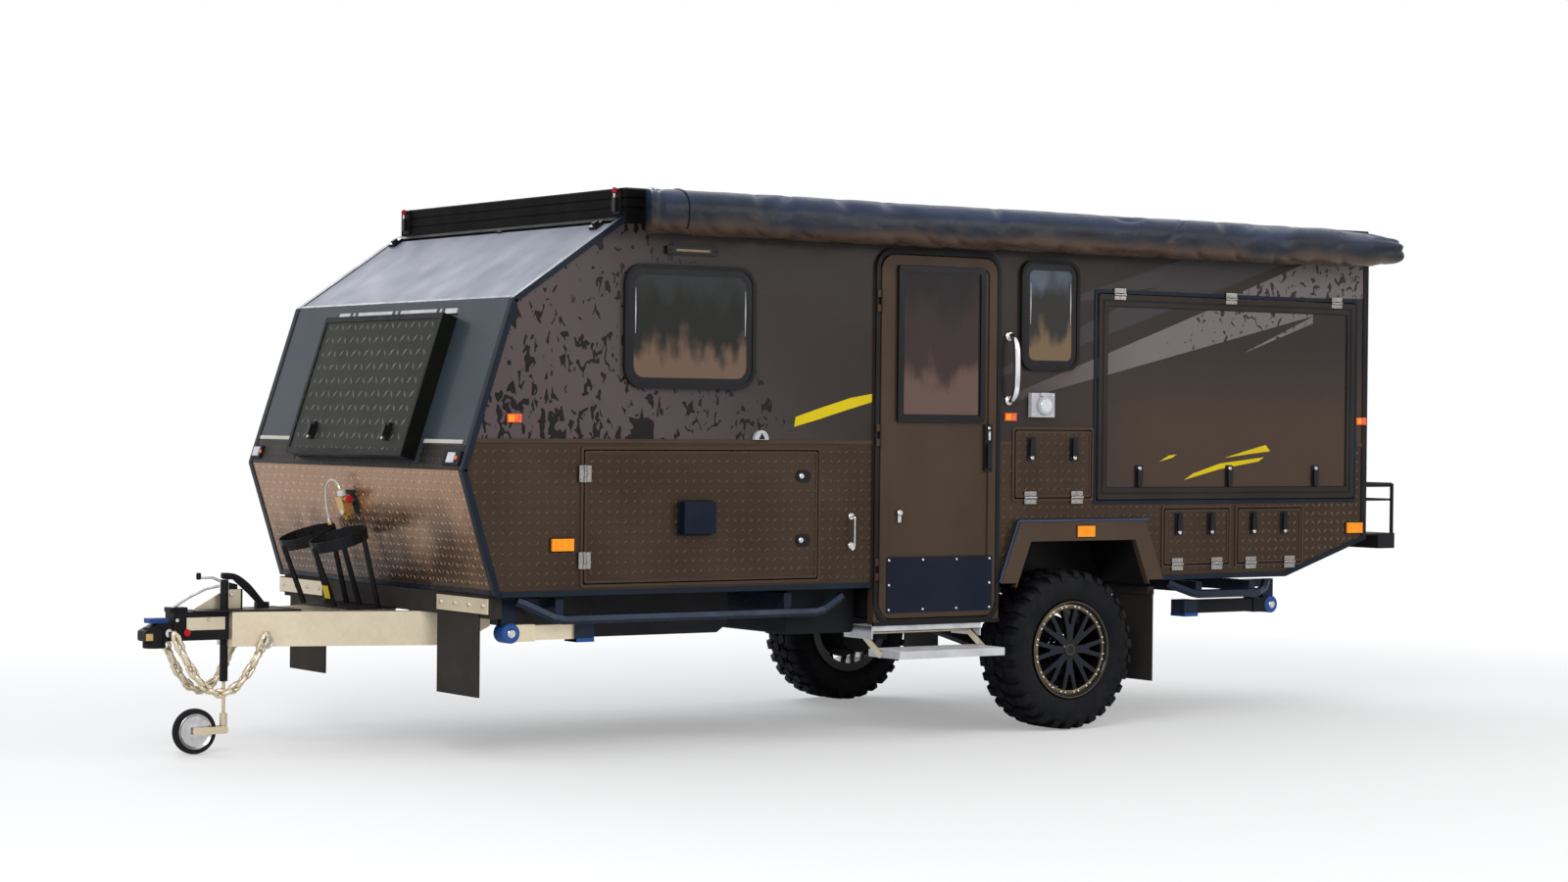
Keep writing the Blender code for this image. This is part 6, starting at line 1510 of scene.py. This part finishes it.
def drawbar_fittings():
    """Clamp plates, coupling parts, hand-brake, shackles, the blank tag and the jockey wheel."""
    parts = []
    for side in (NEAR, FAR):
        y = side_pair(side, 0.562, 1.018)
        parts.append((box((0.1468, 0.1506), y, (0.643, 0.709), 0.001), "zinc_beam"))
        for k in range(4):
            at = Vector((0.1468, side * (0.60 + k * 0.125), 0.676))
            parts.append((placed(disc((0, 0, 0), 0.010, -0.001, 0.006, "Z", 6, 0.001), Y, Z, -X, at),
                          "steel_bright"))
    make("flap_clamps", "trailer", parts)

    parts = [(box((-0.965, -0.880), (-0.030, 0.030), (0.5785, 0.600), 0.008), "leg_blue"),
             (disc((-0.93, 0, 0), 0.0495, 0.4705, 0.500, "Z", 32, 0.004), "satin_black"),
             (box((-0.870, -0.790), (-0.034, 0.034), (0.6245, 0.645), 0.006), "satin_black"),
             (box((-0.985, -0.930), (-0.0415, 0.0415), (0.505, 0.535), 0.004), "brass_warm"),
             (disc((-0.800, 0, 0.535), 0.016, -0.062, -0.0455, "Y", 20, 0.005), "accent_red"),
             (disc((-0.880, 0, 0.535), 0.019, -0.056, -0.0405, "Y", 20, 0.005), "steel_bright"),
             (disc((-0.845, 0, 0.590), 0.009, -0.054, 0.054, "Y", 6, 0.002), "steel_bright"),
             (disc((-0.700, 0, 0.590), 0.009, -0.054, 0.054, "Y", 6, 0.002), "steel_bright"),
             (rod([(-0.86, -0.020, 0.640), (-0.78, -0.022, 0.688), (-0.70, -0.024, 0.724),
                   (-0.64, -0.028, 0.735)], 0.007, 10),
              "steel_bright"),
             (prism([(-0.735, 0.6305), (-0.585, 0.714), (-0.510, 0.714), (-0.510, 0.6305)], "Y", 0.0315,
                    0.0338, 0.001),
              "zinc_beam"),
             (disc((-0.555, 0, 0.692), 0.010, 0.026, 0.0335, "Y", 20, 0.002), "steel_bright"),
             (prism([(-0.560, 0.700), (-0.520, 0.700), (-0.520, 0.735), (-0.560, 0.745)], "Y", 0.0445, 0.0500,
                    0.001),
              "satin_black"),
             (rod(curved([(-0.400, 0.052, 0.648), (-0.435, 0.052, 0.690), (-0.475, 0.052, 0.732),
                          (-0.530, 0.052, 0.768),
                          (-0.592, 0.052, 0.775)], 5), 0.0135, 14), "satin_black"),
             (rod([(-0.62, 0, 0.752), (-0.66, 0, 0.770), (-0.72, 0, 0.770)], 0.006, 10), "steel_bright"),
             (disc((-0.725, 0, 0), 0.011, 0.762, 0.792, "Z", 16, 0.004), "satin_black")]
    for side in (NEAR, FAR):
        parts.append((box((-0.80, -0.62), side_pair(side, 0.0455, 0.0485), (0.545, 0.600), 0.001),
                      "zinc_beam"))
        ring = [Vector((-0.470 + 0.024 * math.cos(t), side * 0.160, 0.492 + 0.026 * math.sin(t)))
                for t in (2 * math.pi * k / 20 for k in range(20))]
        parts.append((rod(ring, 0.0048, 10, True), "steel_bright"))
        parts.append((disc((-0.470, 0, 0.520), 0.008, *side_pair(side, 0.104, 0.172), "Y", 12, 0.002),
                      "steel_bright"))
    make("coupling_fittings", "trailer", parts)

    tag = box((-0.002, 0.002), (-0.024, 0.024), (0, 0.058), 0.0006)
    tag.transform(Matrix.Translation((-0.115, -0.026, 0.668)) @ Matrix.Rotation(math.radians(-14), 4, "Y"))
    make("blank_tag", "trailer", [(tag, "accent_yellow")])

    parts = []
    for side in (NEAR, FAR):
        hub = [(0.0120, 0.010), (0.0140, 0.012), (0.0125, 0.040), (0.0125, 0.070), (0.0165, 0.074),
               (0.0165, 0.078),
               (0.0120, 0.080)]
        parts.append((turned([(side * a, r) for a, r in hub], JOCKEY_AXLE, "Y", 40), "steel_bright"))
        parts.append((disc(JOCKEY_AXLE, 0.013, *side_pair(side, 0.0115, 0.0235), "Y", 20, 0.003),
                      "steel_bright"))
    make("jockey_hub", "jockey_roller", parts)

    tread = [(0.0185, 0.0775), (0.0215, 0.0860), (0.0185, 0.0950), (0.0100, 0.0994), (0, 0.1000)]
    rim = [(0.0180, 0.0790), (0.0195, 0.0765), (0.0150, 0.0700), (0.0075, 0.0600), (0.0060, 0.0300),
           (0.0115, 0.0240),
           (0.0115, 0.0070)]
    roller = [(turned(tread + [(-a, r) for a, r in reversed(tread[:-1])], JOCKEY_AXLE, "Y", 48),
               "rubber_black"),
              (turned(rim + [(-a, r) for a, r in reversed(rim)], JOCKEY_AXLE, "Y", 48), "steel_bright")]
    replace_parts(make("jockey_tyre", "jockey_roller", roller), "jockey_wheel")


CHAIN_GROWN = 0.0014                     # how far the links' faces are moved out before they are rounded


def chains():
    """The safety chains' links, rounder than their solids."""
    for name in ("safety_chain_left", "safety_chain_right"):
        shape = bmesh.new()
        shape.from_mesh(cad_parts[name].data)
        bmesh.ops.remove_doubles(shape, verts=shape.verts, dist=WELD)
        bmesh.ops.transform(shape, matrix=Matrix.Translation(MIDDLE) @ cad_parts[name].matrix_world,
                            verts=shape.verts)
        shape.normal_update()
        for vertex in shape.verts:
            vertex.co += vertex.normal * CHAIN_GROWN
        bmesh.ops.subdivide_edges(shape, edges=shape.edges, cuts=1, smooth=1.0, use_grid_fill=True)
        links = make(name + "_links", "trailer", [(finished(shape), "zinc_chain")])
        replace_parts(links, name)


# Underneath: steady legs, step

LEGS = (
    # foot's far end x, foot's near end x, swivel x, height
    (0.700, 0.610, 0.290, 0.555),
    (4.140, 4.230, 4.740, 0.570),
)


def steady_legs():
    parts = []
    for side in (NEAR, FAR):
        for far, near, swivel, z in LEGS:
            y = side_pair(side, 0.897, 0.963)
            x = tuple(sorted((near, swivel)))
            tube = "zinc_beam" if swivel < near else "tank_black"
            parts.append((box(x, y, (z - 0.0325, z + 0.0325), 0.004), tube))
            sleeve = tuple(sorted((swivel, swivel + (0.12 if near > swivel else -0.12))))
            parts.append((box(sleeve, side_pair(side, 0.892, 0.968), (z - 0.037, z + 0.037), 0.004), tube))
            parts.append((disc((swivel, 0, z), 0.0435, *side_pair(side, 0.888, 0.972), "Y", 32, 0.004),
                          "leg_blue"))
            parts.append((disc((swivel, 0, z), 0.020, *side_pair(side, 0.884, 0.980), "Y", 20, 0.004),
                          "steel_bright"))
            foot = tuple(sorted((far, near)))
            parts.append((box(foot, side_pair(side, 0.878, 0.982), (z - 0.047, z - 0.030), 0.006),
                          "leg_blue"))
            parts.append((box((foot[0] + 0.010, foot[1] - 0.010), side_pair(side, 0.899, 0.961),
                              (z - 0.036, z + 0.0365), 0.008), "leg_blue"))
    make("steady_legs", "trailer", parts)


WELL_X, WELL_Y, WELL_Z, WELL_SHEET = (2.166, 2.871), (-1.019, -0.864), (0.570, 0.799), 0.006


def step_well():
    """The sheet well inside the doorway, from the sill up to the floor."""
    parts = [(box(WELL_X, WELL_Y, (WELL_Z[0], WELL_Z[0] + WELL_SHEET)), "satin_black"),
             (box(WELL_X, (WELL_Y[1] - WELL_SHEET, WELL_Y[1]), WELL_Z), "satin_black")]
    for x in (WELL_X[0], WELL_X[1] - WELL_SHEET):
        parts.append((box((x, x + WELL_SHEET), WELL_Y, WELL_Z), "satin_black"))
    make("step_well", "trailer", parts)


def step_ribs():
    """Grip ribs on the entry step's tread."""
    parts = []
    for k in range(9):
        y = -1.224 + k * 0.026
        parts.append((box((2.180, 2.780), (y - 0.004, y + 0.004), (0.4298, 0.4330), 0.001), "aluminium_step"))
    parts.append((box((2.176, 2.784), (-1.2408, -1.2330), (0.400, 0.4315), 0.002), "aluminium_step"))
    make("step_ribs", "step_plate", parts)


# Rear wall

def rear_fittings():
    parts = []
    x = REAR_X
    for side in (NEAR, FAR):
        parts.append((box((x + SEAT, x + 0.0265), side_pair(side, 0.8195, 1.0105), (1.2345, 1.3455), 0.0008),
                      "satin_black"))
        for low, high, kind in ((0.826, 0.884, "lamp_red"), (0.886, 0.944, "lamp_amber"),
                                (0.946, 1.004, "lamp_clear")):
            parts.append((box((x + 0.0245, x + 0.0300), side_pair(side, low, high), (1.242, 1.338), 0.002),
                          kind))
        parts.append((box((x + SEAT, x + 0.006), side_pair(side, 0.940, 1.000), (2.215, 2.250), 0.002),
                      "lamp_red"))
        parts.append((box((x + SEAT, x + 0.004), side_pair(side, 1.012, 1.046), (0.905, 2.330), 0.001),
                      "edge_black_sky_tint"))
        parts.append((disc((x, side * 0.760, 1.290), 0.032, 0.0005, 0.010, "X", 24, 0.003), "lamp_red"))
    parts.append((box((x + SEAT, x + 0.004), (-1.010, 1.010), (2.310, 2.336), 0.001), "edge_black_sky_tint"))
    parts.append((box((x + SEAT, x + 0.004), (-1.010, 1.010), (BELT_Z - 0.010, BELT_Z + 0.008), 0.001),
                  "door_brown"))
    make("rear_lamps", "trailer", parts)
    plate = box((5.5905, 5.5935), (-0.186, 0.186), (0.848, 0.922), 0.001)
    lamp = box((5.5905, 5.6020), (-0.245, -0.205), (0.872, 0.900), 0.003)
    make("blank_plate", "trailer", [(plate, "plastic_grey"), (lamp, "lamp_clear")])


stage()
gas()
window_frames()
side_lamps()
edges()
hatch_hardware()
side_fittings()
stripes()
door_fittings()
wheels()
awning()
skirt()
front_wall()
roof_latches()
drawbar_fittings()
chains()
steady_legs()
step_ribs()
step_well()
rear_fittings()
